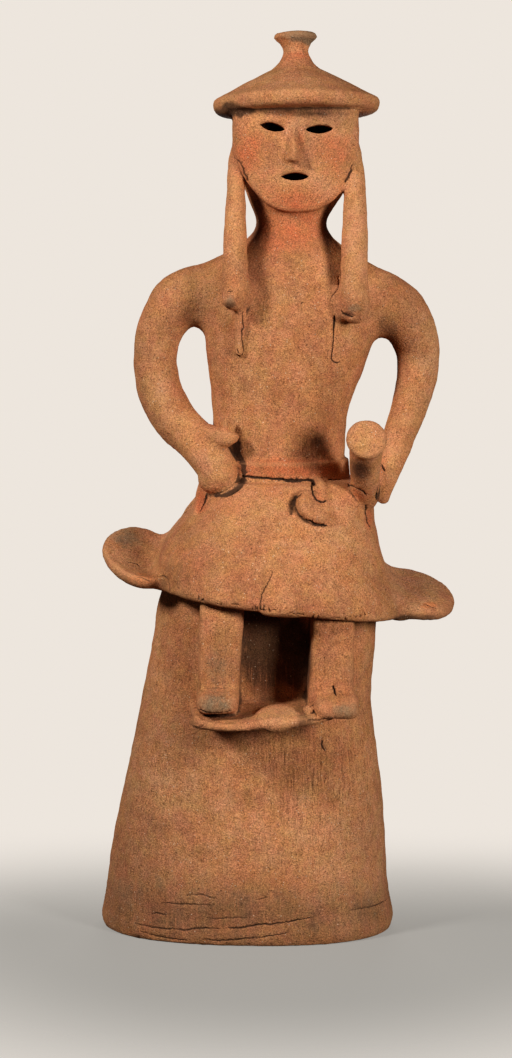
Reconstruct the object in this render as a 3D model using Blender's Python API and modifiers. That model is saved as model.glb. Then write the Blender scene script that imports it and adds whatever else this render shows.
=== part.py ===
"""A seated clay figure on a tall oval base: hand-built, hollow, and open below.

Metres, +Z up. The figure faces -Y, and left and right are as its viewer sees them. The
origin is on the ground, under the middle of the figure's bounding box. How far forward
a place is, or "ahead", is measured from the upright axis of the base towards the viewer.
"""

import math

import bmesh
import bpy
import numpy as np
from mathutils import Vector

# Driving dimensions
AXIS_BEHIND = 0.028
WALL = 0.015
BASE_TURN = math.radians(4.5)
SEAT_HEIGHT = 0.417
OVAL_POWER = 2.3
OVERLAP = 0.020

# Sections of the hollow body, from the ground to the crown. Each row holds the height,
# how far the outline reaches left and right of the origin, and ahead of and behind the axis.
BODY = (
    (0.000, -0.2215, 0.1415, 0.119, 0.119),
    (0.012, -0.2245, 0.1445, 0.121, 0.121),
    (0.057, -0.2172, 0.1370, 0.118, 0.118),
    (0.113, -0.2090, 0.1340, 0.115, 0.116),
    (0.181, -0.1950, 0.1290, 0.112, 0.113),
    (0.280, -0.1745, 0.1170, 0.108, 0.109),
    (0.357, -0.1600, 0.1220, 0.105, 0.107),
    (SEAT_HEIGHT, -0.1500, 0.1220, 0.103, 0.105),
    (0.490, -0.1180, 0.1050, 0.092, 0.090),
    (0.560, -0.0850, 0.0850, 0.076, 0.070),
    (0.611, -0.0838, 0.0838, 0.073, 0.067),
    (0.655, -0.0842, 0.0890, 0.074, 0.068),
    (0.705, -0.0895, 0.1080, 0.076, 0.070),
    (0.750, -0.0940, 0.1210, 0.078, 0.070),
    (0.800, -0.0960, 0.1220, 0.076, 0.066),
    (0.836, -0.0830, 0.1080, 0.070, 0.058),
    (0.855, -0.0570, 0.0840, 0.061, 0.050),
    (0.872, -0.0350, 0.0660, 0.053, 0.044),
    (0.892, -0.0290, 0.0610, 0.049, 0.041),
    (0.926, -0.0420, 0.0820, 0.056, 0.052),
    (0.962, -0.0530, 0.0940, 0.063, 0.066),
    (1.000, -0.0590, 0.0985, 0.066, 0.072),
    (1.044, -0.0585, 0.0985, 0.066, 0.072),
)
BODY_LEVELS = 28
BODY_SIDES = 34
CAVITY_LEVELS = 14
CAVITY_SIDES = 22
CAVITY_TOP = 1.046
CAVITY_CROWN = 0.6

# Face: a flat mask in front of the head, with a rounded jaw, cut through for eyes and mouth
MASK = (
    (0.884, -0.0520, 0.0920, 0.060, -0.010),
    (0.930, -0.0580, 0.0970, 0.067, -0.010),
    (0.980, -0.0600, 0.1000, 0.072, -0.010),
    (1.036, -0.0595, 0.0995, 0.070, -0.010),
)
MASK_POWER = 2.5
CHIN = (0.0235, 0.900)
JAW_HEIGHT = 0.079
JAW_HALF_WIDTH = 0.083
JAW_ROUNDING = 0.37
JAW_STEPS = 8
JAW_BLOCK = 0.2
NOSE = (
    (1.020, 0.0155, 0.0225, 0.073, -0.050),
    (0.990, 0.0125, 0.0250, 0.081, -0.050),
    (0.965, 0.0085, 0.0300, 0.087, -0.050),
    (0.957, 0.0110, 0.0280, 0.079, -0.050),
)
SLITS = (
    ("eye_left", -0.0091, 1.0057, 0.0306, 0.0105, -12.0),
    ("eye_right", 0.0508, 1.0032, 0.0312, 0.0098, 2.0),
    ("mouth", 0.0196, 0.9438, 0.0318, 0.0088, 0.0),
)
SLIT_AHEAD = 0.070
SLIT_DEPTH = 0.090
SLIT_POINTS = 16

# Hat: a shallow turned cone with a spool on top, tipped back a little
HAT_MIDDLE = (0.0234, 0.000, 1.0330)
HAT_TIP_BACK = math.radians(3.8)
HAT_DEEP = 0.97
HAT_PROFILE = (
    (0.0000, 0.0945),
    (0.0230, 0.0965),
    (0.0272, 0.0915),
    (0.0262, 0.0855),
    (0.0170, 0.0790),
    (0.0150, 0.0710),
    (0.0175, 0.0620),
    (0.0255, 0.0510),
    (0.0415, 0.0400),
    (0.0660, 0.0265),
    (0.0880, 0.0140),
    (0.1015, 0.0065),
    (0.1045, 0.0010),
    (0.0985, -0.0060),
    (0.0700, -0.0090),
    (0.0000, -0.0100),
)
HAT_STEPS = 28
HAT_LEAN = math.radians(-1.0)

# Arms and hands: routes of left-right, ahead, height and radius, from shoulder to fingers
ARM_LEFT = (
    (-0.040, 0.004, 0.800, 0.028),
    (-0.088, 0.004, 0.797, 0.038),
    (-0.122, 0.004, 0.790, 0.0365),
    (-0.142, 0.005, 0.769, 0.0315),
    (-0.1540, 0.005, 0.742, 0.0285),
    (-0.1572, 0.006, 0.711, 0.0268),
    (-0.1510, 0.010, 0.675, 0.0280),
    (-0.1320, 0.024, 0.6400, 0.0277),
    (-0.1070, 0.045, 0.6165, 0.0256),
    (-0.0860, 0.060, 0.5940, 0.0250),
    (-0.0720, 0.066, 0.5790, 0.0235),
    (-0.0660, 0.068, 0.5700, 0.0150),
)
ARM_RIGHT = (
    (0.060, 0.004, 0.800, 0.030),
    (0.112, 0.004, 0.791, 0.041),
    (0.1470, 0.004, 0.776, 0.0375),
    (0.1650, 0.005, 0.757, 0.0320),
    (0.1756, 0.005, 0.727, 0.0278),
    (0.1750, 0.008, 0.692, 0.0248),
    (0.1650, 0.022, 0.657, 0.0226),
    (0.1515, 0.042, 0.622, 0.0200),
    (0.1400, 0.058, 0.592, 0.0185),
    (0.1320, 0.064, 0.566, 0.0135),
    (0.1295, 0.068, 0.544, 0.0070),
)
THUMB_LEFT = (
    (-0.0860, 0.056, 0.6100, 0.0110),
    (-0.0680, 0.070, 0.6200, 0.0100),
    (-0.0560, 0.076, 0.6195, 0.0085),
    (-0.0500, 0.077, 0.6180, 0.0050),
)
ARM_SPACING = 0.018
ARM_BEVEL = 4

# Hair: a long lock down each side of the face, its end pressed on the chest
LOCK_LEFT = (
    (-0.0480, 0.010, 0.9950, 0.0095),
    (-0.0532, 0.018, 0.9600, 0.0105),
    (-0.0546, 0.026, 0.9256, 0.0112),
    (-0.0557, 0.038, 0.8776, 0.0140),
    (-0.0560, 0.050, 0.8350, 0.0160),
    (-0.0550, 0.060, 0.8060, 0.0180),
    (-0.0578, 0.063, 0.7880, 0.0120),
)
LOCK_RIGHT = (
    (0.0880, 0.012, 0.9900, 0.0120),
    (0.0921, 0.018, 0.9599, 0.0135),
    (0.0949, 0.026, 0.9256, 0.0138),
    (0.0945, 0.038, 0.8776, 0.0160),
    (0.0934, 0.050, 0.8337, 0.0165),
    (0.0943, 0.060, 0.7940, 0.0175),
    (0.0955, 0.062, 0.7720, 0.0120),
)
TIE_LEFT = (
    (-0.0500, 0.064, 0.7900, 0.0050),
    (-0.0500, 0.068, 0.7550, 0.0055),
    (-0.0495, 0.066, 0.7230, 0.0045),
)
LOCK_BEVEL = 3
NUB_MIDDLE = (-0.0605, 0.074, 0.7930)
NUB_HALF = (0.0095, 0.0100, 0.0095)

# Belt, its knot, and the skirt: height, left, right, ahead, behind
BELT = (
    (0.5600, -0.0890, 0.0890, 0.080, 0.074),
    (0.5660, -0.0895, 0.0895, 0.081, 0.074),
    (0.5870, -0.0885, 0.0885, 0.080, 0.073),
    (0.5920, -0.0830, 0.0830, 0.074, 0.068),
)
KNOT_STRAP = (
    (0.0500, 0.074, 0.5720, 0.0080),
    (0.0560, 0.094, 0.5640, 0.0100),
    (0.0580, 0.112, 0.5520, 0.0105),
    (0.0540, 0.120, 0.5420, 0.0080),
)
KNOT_LOBE_MIDDLE = (0.0440, 0.124, 0.5330)
KNOT_LOBE_HALF = (0.0250, 0.0100, 0.0130)
KNOT_LOBE_TILT = math.radians(44)
SKIRT = (
    (0.5680, -0.0880, 0.0950, 0.084, 0.078),
    (0.5560, -0.0930, 0.1170, 0.101, 0.088),
    (0.5150, -0.1210, 0.1210, 0.136, 0.112),
    (0.4700, -0.1480, 0.1330, 0.168, 0.133),
    (0.4300, -0.1520, 0.1560, 0.187, 0.146),
    (0.4190, -0.1490, 0.1560, 0.188, 0.146),
    (0.4150, -0.1420, 0.1480, 0.181, 0.140),
)
SKIRT_THICK = 0.014
SKIRT_ROOT = (0.5420, -0.0780, 0.0780, 0.068, 0.062)
SKIRT_TIP = 0.019
SKIRT_SIDES = 38
SKIRT_LEVELS = 9
SKIRT_POWER = 2.2
PLEAT = (
    (0.4700, -0.0010, 0.0130, 0.163, -0.150),
    (0.4520, -0.0080, 0.0165, 0.180, -0.166),
    (0.4300, -0.0165, 0.0195, 0.191, -0.176),
    (0.4170, -0.0215, 0.0205, 0.193, -0.179),
    (0.4115, -0.0190, 0.0180, 0.189, -0.181),
)

# Side flaps of the skirt: round tongues, given by their middle and two half-axes
FLAP_LEFT_MIDDLE = (-0.1730, 0.030, 0.4630)
FLAP_LEFT_ACROSS = (-0.0450, 0.0, 0.0090)
FLAP_LEFT_ALONG = (0.0050, 0.062, -0.0280)
FLAP_LEFT_DISH = 0.012
FLAP_RIGHT_MIDDLE = (0.1646, 0.030, 0.4210)
FLAP_RIGHT_ACROSS = (0.0570, 0.0, -0.0090)
FLAP_RIGHT_ALONG = (-0.0025, 0.062, -0.0180)
FLAP_RIGHT_DISH = -0.006
FLAP_THICK = 0.015

# Legs, feet and the ledge that they rest on
LEG_LEFT = (
    (0.500, -0.0920, -0.0400, 0.124, -0.070),
    (0.450, -0.0950, -0.0420, 0.160, -0.078),
    (0.400, -0.0975, -0.0440, 0.181, -0.080),
    (0.330, -0.1000, -0.0510, 0.187, -0.080),
    (0.300, -0.1005, -0.0530, 0.189, -0.080),
    (0.284, -0.0970, -0.0560, 0.180, -0.080),
)
LEG_RIGHT = (
    (0.497, 0.0370, 0.0880, 0.121, -0.068),
    (0.448, 0.0370, 0.0900, 0.158, -0.076),
    (0.398, 0.0360, 0.0890, 0.179, -0.078),
    (0.332, 0.0330, 0.0870, 0.185, -0.078),
    (0.301, 0.0330, 0.0860, 0.186, -0.078),
    (0.286, 0.0370, 0.0830, 0.178, -0.078),
)
FOOT_LEFT_MIDDLE = (-0.0755, 0.184, 0.3080)
FOOT_RIGHT_MIDDLE = (0.0690, 0.180, 0.3060)
FOOT_HALF = (0.0235, 0.0230, 0.0150)
LEDGE_MIDDLE = (-0.0100, 0.100, 0.2890)
LEDGE_ACROSS = (0.0985, 0.0, 0.0030)
LEDGE_ALONG = (0.0, 0.103, -0.007)
LEDGE_THICK = 0.013

# Sword hilt: a tapering grip with a flat round pommel, standing forward and up at the hip
HILT_FOOT = (0.1055, 0.066, 0.5450)
HILT_HEAD = (0.1050, 0.146, 0.6225)
GRIP_FOOT_RADIUS = 0.0165
GRIP_HEAD_RADIUS = 0.0205
POMMEL_RISE = math.radians(24)
POMMEL_RADIUS = 0.0245
POMMEL_THICK = 0.012
POMMEL_ROUNDING = 0.004
GRIP_STEPS = 16
POMMEL_STEPS = 24

CLAY_COLOUR = (0.52, 0.24, 0.11, 1.0)
CLAY_ROUGHNESS = 0.92


def at(across, ahead, height):
    """A place given by left-right, ahead of the base's axis, and height."""
    return Vector((across, AXIS_BEHIND - ahead, height))


def clear_scene():
    for obj in list(bpy.data.objects):
        bpy.data.objects.remove(obj, do_unlink=True)


def new_collection(name):
    collection = bpy.data.collections.new(name)
    bpy.context.scene.collection.children.link(collection)
    return collection


def mesh_object(name, mesh, collection):
    obj = bpy.data.objects.new(name, mesh)
    collection.objects.link(obj)
    return obj


def flow(rows, count):
    """Rows spaced along a smooth curve that passes through the given rows."""
    rows = np.array(rows, float)
    ends = [2 * rows[0] - rows[1]], [2 * rows[-1] - rows[-2]]
    knots = np.vstack([ends[0], rows, ends[1]])
    spans = len(rows) - 1
    smooth = []
    for place in np.linspace(0, spans, count):
        first = min(int(place), spans - 1)
        t = place - first
        a, b, c, d = knots[first : first + 4]
        bend = (2 * a - 5 * b + 4 * c - d) * t**2 + (3 * b - 3 * c + d - a) * t**3
        smooth.append(0.5 * (2 * b + (c - a) * t + bend))
    return np.array(smooth)


def oval(section, sides, power=OVAL_POWER, turn=0.0):
    """A ring of points round a section, squarer than an ellipse as power passes 2."""
    height, left, right, ahead, behind = section
    middle = Vector(((left + right) / 2, AXIS_BEHIND + (behind - ahead) / 2))
    half = (right - left) / 2, (ahead + behind) / 2
    ring = []
    for step in range(sides):
        angle = 2 * math.pi * step / sides
        cos, sin = math.cos(angle), math.sin(angle)
        x = half[0] * math.copysign(abs(cos) ** (2 / power), cos)
        y = half[1] * math.copysign(abs(sin) ** (2 / power), sin)
        turned_x = x * math.cos(turn) - y * math.sin(turn)
        turned_y = x * math.sin(turn) + y * math.cos(turn)
        ring.append(Vector((middle.x + turned_x, middle.y + turned_y, height)))
    return ring


def loft(name, rings, collection):
    """A closed skin over rings of equal count, with a fan of triangles over each end."""
    form = bmesh.new()
    loops = [[form.verts.new(point) for point in ring] for ring in rings]
    sides = len(loops[0])
    for lower, upper in zip(loops, loops[1:]):
        for i in range(sides):
            j = (i + 1) % sides
            form.faces.new((lower[i], lower[j], upper[j], upper[i]))
    for loop in (loops[0], loops[-1]):
        middle = form.verts.new(sum((v.co for v in loop), Vector()) / sides)
        for i in range(sides):
            form.faces.new((loop[i], loop[(i + 1) % sides], middle))
    bmesh.ops.recalc_face_normals(form, faces=form.faces)
    mesh = bpy.data.meshes.new(name)
    form.to_mesh(mesh)
    form.free()
    return mesh_object(name, mesh, collection)


def body_turn(height):
    """The base is turned a little on the ground, and the turn fades out at the seat."""
    return -BASE_TURN * max(0.0, 1 - height / SEAT_HEIGHT)


def make_body(collection):
    sections = flow(BODY, BODY_LEVELS)
    rings = [oval(row, BODY_SIDES, turn=body_turn(row[0])) for row in sections]
    return loft("haniwa_figure", rings, collection)


def cavity_section(sections, height):
    """The hollow at one height, a wall's thickness inside the body above and below it."""
    nearby = [height - WALL, height, height + WALL]
    inset = np.array([0.0, WALL, -WALL, -WALL, -WALL])
    row = [height]
    for column, inward in zip(range(1, 5), inset[1:]):
        reach = np.interp(nearby, sections[:, 0], sections[:, column])
        row.append((reach.max() if inward > 0 else reach.min()) + inward)
    return row


def make_cavity(collection):
    sections = flow(BODY, BODY_LEVELS)
    rings = [oval(cavity_section(sections, 0.0), CAVITY_SIDES, turn=body_turn(0.0))]
    for point in rings[0]:
        point.z = -OVERLAP
    for height in np.linspace(0.0, CAVITY_TOP - WALL, CAVITY_LEVELS):
        section = cavity_section(sections, height)
        rings.append(oval(section, CAVITY_SIDES, turn=body_turn(height)))
    middle = sum(rings[-1], Vector()) / CAVITY_SIDES
    rings.append([middle.lerp(point, CAVITY_CROWN) + Vector((0, 0, WALL)) for point in rings[-1]])
    return loft("cavity", rings, collection)


def make_ball(name, middle, half, collection, tilt=0.0, steps=10):
    """An ellipsoid with half-sizes across, fore and aft, and up, tilted in the front view."""
    form = bmesh.new()
    bmesh.ops.create_uvsphere(form, u_segments=steps, v_segments=steps // 2 + 2, radius=1.0)
    bmesh.ops.scale(form, vec=half, verts=form.verts)
    mesh = bpy.data.meshes.new(name)
    form.to_mesh(mesh)
    form.free()
    ball = mesh_object(name, mesh, collection)
    ball.location = at(*middle)
    ball.rotation_euler.y = tilt
    return ball


def make_outline_block(name, points, depth, collection):
    """A flat outline, drawn in X and Z, made a block that is centred on its own plane."""
    curve = bpy.data.curves.new(name, "CURVE")
    curve.dimensions = "2D"
    curve.fill_mode = "BOTH"
    curve.extrude = depth / 2
    spline = curve.splines.new("POLY")
    spline.points.add(len(points) - 1)
    for place, (x, z) in zip(spline.points, points):
        place.co = (x, z, 0.0, 1.0)
    spline.use_cyclic_u = True
    guide = mesh_object(name, curve, collection)
    guide.rotation_euler.x = math.pi / 2
    return curve_to_mesh(guide, collection)


def curve_to_mesh(guide, collection):
    """The curve's evaluated surface as a closed mesh object in the same place."""
    bpy.context.view_layer.update()
    evaluated = guide.evaluated_get(bpy.context.evaluated_depsgraph_get())
    mesh = bpy.data.meshes.new_from_object(evaluated)
    form = bmesh.new()
    form.from_mesh(mesh)
    bmesh.ops.remove_doubles(form, verts=form.verts, dist=0.00001)
    bmesh.ops.recalc_face_normals(form, faces=form.faces)
    form.to_mesh(mesh)
    form.free()
    name, matrix = guide.name, guide.matrix_world.copy()
    bpy.data.objects.remove(guide, do_unlink=True)
    solid = mesh_object(name, mesh, collection)
    solid.matrix_world = matrix
    return solid


def make_tube(name, route, bevel, spacing, collection):
    """A tube of changing radius on a smooth curve through the rows of a route."""
    rows = np.array(route)
    length = np.linalg.norm(np.diff(rows[:, :3], axis=0), axis=1).sum()
    rows = flow(rows, max(len(route), round(length / spacing)))
    curve = bpy.data.curves.new(name, "CURVE")
    curve.dimensions = "3D"
    curve.bevel_depth = 1.0
    curve.bevel_resolution = bevel
    curve.use_fill_caps = True
    spline = curve.splines.new("POLY")
    spline.points.add(len(rows) - 1)
    for point, (across, ahead, height, radius) in zip(spline.points, rows):
        point.co = (*at(across, ahead, height), 1.0)
        point.radius = radius
    return curve_to_mesh(mesh_object(name, curve, collection), collection)


def make_slab(name, middle, across, along, thick, dish, collection, sides=24):
    """A round-edged oval plate in the plane of two half-axes, dished towards its front."""
    centre = at(*middle)
    out = Vector((across[0], -across[1], across[2]))
    fore = Vector((along[0], -along[1], along[2]))
    up = out.cross(fore).normalized()
    up *= math.copysign(1.0, up.z)
    rings = []
    for reach, level in ((0.5, -0.5), (0.93, -0.45), (1.0, 0.0), (0.93, 0.45), (0.5, 0.5)):
        lift = up * (level * thick + dish * reach**2 - dish / 2)
        ring = []
        for step in range(sides):
            angle = 2 * math.pi * step / sides
            ring.append(centre + reach * (math.cos(angle) * out + math.sin(angle) * fore) + lift)
        rings.append(ring)
    return loft(name, rings, collection)


def make_mask(collection):
    """The face's front, trimmed below to the jaw by a block of the jaw's outline."""
    rings = [oval(row, BODY_SIDES, MASK_POWER) for row in MASK]
    mask = loft("mask", rings, collection)
    heights = [JAW_HEIGHT * (step / JAW_STEPS) ** 2 for step in range(JAW_STEPS + 1)]
    widths = [JAW_HALF_WIDTH * (h / JAW_HEIGHT) ** JAW_ROUNDING for h in heights]
    x, z = CHIN
    right = [(x + w, z + h) for w, h in zip(widths, heights)]
    left = [(x - w, z + h) for w, h in zip(widths, heights)][:0:-1]
    top = MASK[-1][0] + OVERLAP
    corners = [(x + JAW_HALF_WIDTH, top), (x - JAW_HALF_WIDTH, top)]
    jaw = make_outline_block("jaw_outline", right + corners + left, JAW_BLOCK, collection)
    jaw.location.y = AXIS_BEHIND - JAW_BLOCK / 2
    trim(mask, jaw, "INTERSECT")
    return mask


def make_slit(name, across, height, width, tall, tilt, collection):
    """A pointed oval, pushed through the mask into the hollow head."""
    points = []
    for step in range(SLIT_POINTS):
        angle = 2 * math.pi * step / SLIT_POINTS
        points.append((width / 2 * math.cos(angle), tall / 2 * math.sin(angle)))
    slit = make_outline_block(name, points, SLIT_DEPTH, collection)
    slit.location = at(across, SLIT_AHEAD, height)
    slit.rotation_euler.y = math.radians(-tilt)
    return slit


def make_turned(name, profile, steps, collection):
    """A profile of radius and height, given from top to bottom, turned about Z."""
    mesh = bpy.data.meshes.new(name)
    points = [(radius, 0.0, height) for radius, height in profile]
    mesh.from_pydata(points, [(i, i + 1) for i in range(len(points) - 1)], [])
    turned = mesh_object(name, mesh, collection)
    screw = turned.modifiers.new("turn", "SCREW")
    screw.steps = screw.render_steps = steps
    screw.use_merge_vertices = True
    screw.merge_threshold = 0.00001
    return turned


def make_hat(collection):
    hat = make_turned("hat", HAT_PROFILE, HAT_STEPS, collection)
    hat.location = at(*HAT_MIDDLE)
    hat.rotation_euler = (-HAT_TIP_BACK, HAT_LEAN, 0.0)
    hat.scale.y = HAT_DEEP
    return hat


def make_hilt(collection):
    """The grip between its foot and head, and the pommel, which leans back less than it."""
    foot, head = at(*HILT_FOOT), at(*HILT_HEAD)
    length = (head - foot).length
    grip = make_turned(
        "grip",
        ((0.0, length), (GRIP_HEAD_RADIUS, length), (GRIP_FOOT_RADIUS, 0.0), (0.0, 0.0)),
        GRIP_STEPS,
        collection,
    )
    grip.location = foot
    grip.rotation_euler = (head - foot).to_track_quat("Z", "Y").to_euler()
    half, edge = POMMEL_THICK / 2, POMMEL_RADIUS
    rounded = edge - POMMEL_ROUNDING
    profile = ((0.0, half), (rounded, half), (edge, 0.0), (rounded, -half), (0.0, -half))
    pommel = make_turned("pommel", profile, POMMEL_STEPS, collection)
    pommel.location = head
    facing = Vector((0.0, -math.cos(POMMEL_RISE), math.sin(POMMEL_RISE)))
    pommel.rotation_euler = facing.to_track_quat("Z", "Y").to_euler()
    return grip, pommel


def skirt_ring(row, inset):
    """One ring of the skirt, lower on the right the further down it is."""
    top, hem = SKIRT[0][0], SKIRT[-1][0]
    height, left, right, ahead, behind = row
    inner = (height, left + inset, right - inset, ahead - inset, behind - inset)
    fall = (top - height) / (top - hem)
    ring = oval(inner, SKIRT_SIDES, SKIRT_POWER)
    for point in ring:
        point.z -= SKIRT_TIP * fall * point.x / right
    return ring


def make_skirt(collection):
    """The flaring coat skirt: a slab that hangs clear of the base, down to its rounded hem.

    The inside follows every other level of the outside, from the hem up.
    """
    rows = flow(SKIRT, SKIRT_LEVELS)
    outside = [skirt_ring(row, 0.0) for row in rows]
    inside = [skirt_ring(row, SKIRT_THICK) for row in rows[-2:2:-2]]
    return loft("skirt", outside + inside + [skirt_ring(SKIRT_ROOT, 0.0)], collection)


def make_oval_loft(name, rows, levels, sides, collection):
    return loft(name, [oval(row, sides) for row in flow(rows, levels)], collection)


def trim(obj, other, operation):
    """Adds a Boolean, and keeps the other mesh as a hidden tool."""
    boolean = obj.modifiers.new(other.name, "BOOLEAN")
    boolean.operation = operation
    boolean.solver = "EXACT"
    boolean.object = other
    other.hide_render = True
    other.display_type = "WIRE"


def clay_material():
    material = bpy.data.materials.new("fired_clay")
    material.use_nodes = True
    shader = material.node_tree.nodes["Principled BSDF"]
    shader.inputs["Base Color"].default_value = CLAY_COLOUR
    shader.inputs["Roughness"].default_value = CLAY_ROUGHNESS
    shader.inputs["Metallic"].default_value = 0.0
    return material


def added_forms(tools):
    """Everything that is pressed on to the hollow body, in the order that it is joined."""
    return [
        make_skirt(tools),
        make_oval_loft("belt", BELT, 5, BODY_SIDES, tools),
        make_slab(
            "flap_left", FLAP_LEFT_MIDDLE, FLAP_LEFT_ACROSS, FLAP_LEFT_ALONG,
            FLAP_THICK, FLAP_LEFT_DISH, tools,
        ),
        make_slab(
            "flap_right", FLAP_RIGHT_MIDDLE, FLAP_RIGHT_ACROSS, FLAP_RIGHT_ALONG,
            FLAP_THICK, FLAP_RIGHT_DISH, tools,
        ),
        make_oval_loft("pleat", PLEAT, 6, 14, tools),
        make_slab(
            "ledge", LEDGE_MIDDLE, LEDGE_ACROSS, LEDGE_ALONG, LEDGE_THICK, 0.0, tools, 32
        ),
        make_oval_loft("leg_left", LEG_LEFT, 7, 16, tools),
        make_oval_loft("leg_right", LEG_RIGHT, 7, 16, tools),
        make_ball("foot_left", FOOT_LEFT_MIDDLE, FOOT_HALF, tools),
        make_ball("foot_right", FOOT_RIGHT_MIDDLE, FOOT_HALF, tools),
        make_tube("arm_left", ARM_LEFT, ARM_BEVEL, ARM_SPACING, tools),
        make_tube("thumb_left", THUMB_LEFT, 2, ARM_SPACING, tools),
        make_tube("arm_right", ARM_RIGHT, ARM_BEVEL, ARM_SPACING, tools),
        *make_hilt(tools),
        make_tube("knot_strap", KNOT_STRAP, 2, ARM_SPACING, tools),
        make_ball("knot_lobe", KNOT_LOBE_MIDDLE, KNOT_LOBE_HALF, tools, KNOT_LOBE_TILT),
        make_mask(tools),
        make_oval_loft("nose", NOSE, 5, 12, tools),
        make_tube("lock_left", LOCK_LEFT, LOCK_BEVEL, ARM_SPACING, tools),
        make_tube("lock_right", LOCK_RIGHT, LOCK_BEVEL, ARM_SPACING, tools),
        make_tube("tie_left", TIE_LEFT, 2, ARM_SPACING, tools),
        make_ball("nub", NUB_MIDDLE, NUB_HALF, tools),
        make_hat(tools),
    ]


def main():
    clear_scene()
    parts = new_collection("Haniwa figure")
    tools = new_collection("Tools")
    figure = make_body(parts)
    figure.data.materials.append(clay_material())
    for form in added_forms(tools):
        trim(figure, form, "UNION")
    trim(figure, make_cavity(tools), "DIFFERENCE")
    for slit in SLITS:
        trim(figure, make_slit(*slit, tools), "DIFFERENCE")


main()
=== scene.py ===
"""A haniwa figure in fired clay, seated on its tall oval base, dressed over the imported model.

The clay is held as distances on a grid. Each form is pressed on with its own fillet, marks are
cut into it, the inside is hollowed out, and one skin is drawn over what is left. Metres, +Z up.
The figure faces -Y, and left and right are as its viewer sees them. How far "ahead" a place is
counts from the base's upright axis towards the viewer.
"""

import logging
import math
from dataclasses import dataclass, field, fields, replace
from enum import Enum
from typing import Any, Sequence

import bmesh
import bpy
import numpy as np
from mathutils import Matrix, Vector
from mathutils.kdtree import KDTree


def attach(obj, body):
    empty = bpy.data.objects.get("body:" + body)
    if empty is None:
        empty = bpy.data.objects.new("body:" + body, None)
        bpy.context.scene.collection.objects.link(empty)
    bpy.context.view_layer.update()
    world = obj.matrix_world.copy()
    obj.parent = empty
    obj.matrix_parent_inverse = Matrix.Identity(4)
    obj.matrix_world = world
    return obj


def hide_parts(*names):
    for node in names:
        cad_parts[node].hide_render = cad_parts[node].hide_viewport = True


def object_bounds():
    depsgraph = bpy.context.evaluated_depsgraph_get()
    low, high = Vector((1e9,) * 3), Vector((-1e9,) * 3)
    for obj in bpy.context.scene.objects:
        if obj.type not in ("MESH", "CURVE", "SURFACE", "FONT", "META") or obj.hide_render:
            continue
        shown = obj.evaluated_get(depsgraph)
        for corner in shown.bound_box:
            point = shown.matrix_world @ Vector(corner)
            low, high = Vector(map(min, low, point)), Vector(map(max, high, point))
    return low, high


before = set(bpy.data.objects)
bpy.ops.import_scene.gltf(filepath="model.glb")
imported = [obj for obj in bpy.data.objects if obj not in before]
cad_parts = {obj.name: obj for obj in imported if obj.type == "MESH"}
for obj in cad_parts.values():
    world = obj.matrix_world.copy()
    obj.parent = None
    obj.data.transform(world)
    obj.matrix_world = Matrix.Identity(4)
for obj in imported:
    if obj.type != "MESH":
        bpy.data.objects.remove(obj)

LOG = logging.getLogger("haniwa")
CAD_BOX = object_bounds()

Array = np.ndarray
Row = tuple[float, ...]
Rows = Sequence[Row]
Point = tuple[float, float, float]
Colour = tuple[float, float, float]

# How far behind the origin the base's upright axis is, the wall, and the height of the seat
AXIS_BEHIND = 0.028
WALL = 0.015
SEAT_HEIGHT = 0.417

# Farther than any distance on the grid, and how finely an oval wall's sections are stepped
FAR = 9.0
WALL_LEVELS = 240

# The least share of its radius at which an oval's slope is still worked out
LEAST_SIZE = 0.02

# How far ahead of the axis a look at the clay starts, and where it ends
LOOK_FROM, LOOK_TO = 0.25, -0.12

# A line's wandering places, the finer steps between them, its least half-width, and its seed
WANDER_STEP = 0.0016
LINE_STEP = 0.0004
LEAST_WIDTH = 0.0002
LINE_SEED = 5

# How wide a line is at its lip against its half-width, and how far from its middle it reaches
LINE_LIP = 1.25
LINE_REACH = 0.006

# How round a plate's edge is against its thickness, and how far out its dish still rises
PLATE_EDGE = 0.45
DISH_END = 1.15

# How many steps of the grid lie round the model, and how many more than the fillet round a form
GRID_MARGIN = 4
FORM_MARGIN = 3

# How far inside the model's box the skin is kept
INSET = 2e-5


def at(across: float, ahead: float, height: float) -> Point:
    """Give the world place of left-right, ahead of the base's axis, and height."""
    return (across, AXIS_BEHIND - ahead, height)


def flow(rows: Rows, count: int) -> Array:
    """Space rows along a smooth curve that passes through the given rows.

    Args:
        rows: The rows to pass through, in order.
        count: How many rows to give back.

    Returns:
        The smoothed rows, one to a line.
    """
    given = np.array(rows, float)
    knots = np.vstack([2 * given[0] - given[1], given, 2 * given[-1] - given[-2]])
    spans = len(given) - 1
    place = np.linspace(0, spans, count)
    first = np.minimum(place.astype(int), spans - 1)
    t = (place - first)[:, None]
    a, b, c, d = (knots[first + i] for i in range(4))
    bend = (2 * a - 5 * b + 4 * c - d) * t**2 + (3 * b - 3 * c + d - a) * t**3
    return 0.5 * (2 * b + (c - a) * t + bend)


def turn_matrix(tip: float = 0.0, lean: float = 0.0) -> Array:
    """Give the matrix for turns about X, then Y, in degrees."""
    a, b = math.radians(tip), math.radians(lean)
    about_x = np.array([[1, 0, 0], [0, math.cos(a), -math.sin(a)], [0, math.sin(a), math.cos(a)]])
    about_y = np.array([[math.cos(b), 0, math.sin(b)], [0, 1, 0], [-math.sin(b), 0, math.cos(b)]])
    return about_y @ about_x


def smooth_min(a: Array, b: Array, fillet: float) -> Array:
    """Join two distances with a fillet of about the given radius."""
    if fillet <= 0:
        return np.minimum(a, b)
    near = np.maximum(fillet - np.abs(a - b), 0) / fillet
    return np.minimum(a, b) - near * near * (fillet / 4)


def smooth_max(a: Array, b: Array, fillet: float) -> Array:
    """Keep what two distances share, with a rounded edge."""
    return -smooth_min(-a, -b, fillet)


def around(middle: Point, spread: float | Array) -> tuple[Array, Array]:
    """Give the lowest and highest corners of a box round a place."""
    centre = np.array(at(*middle))
    return centre - spread, centre + spread


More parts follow.
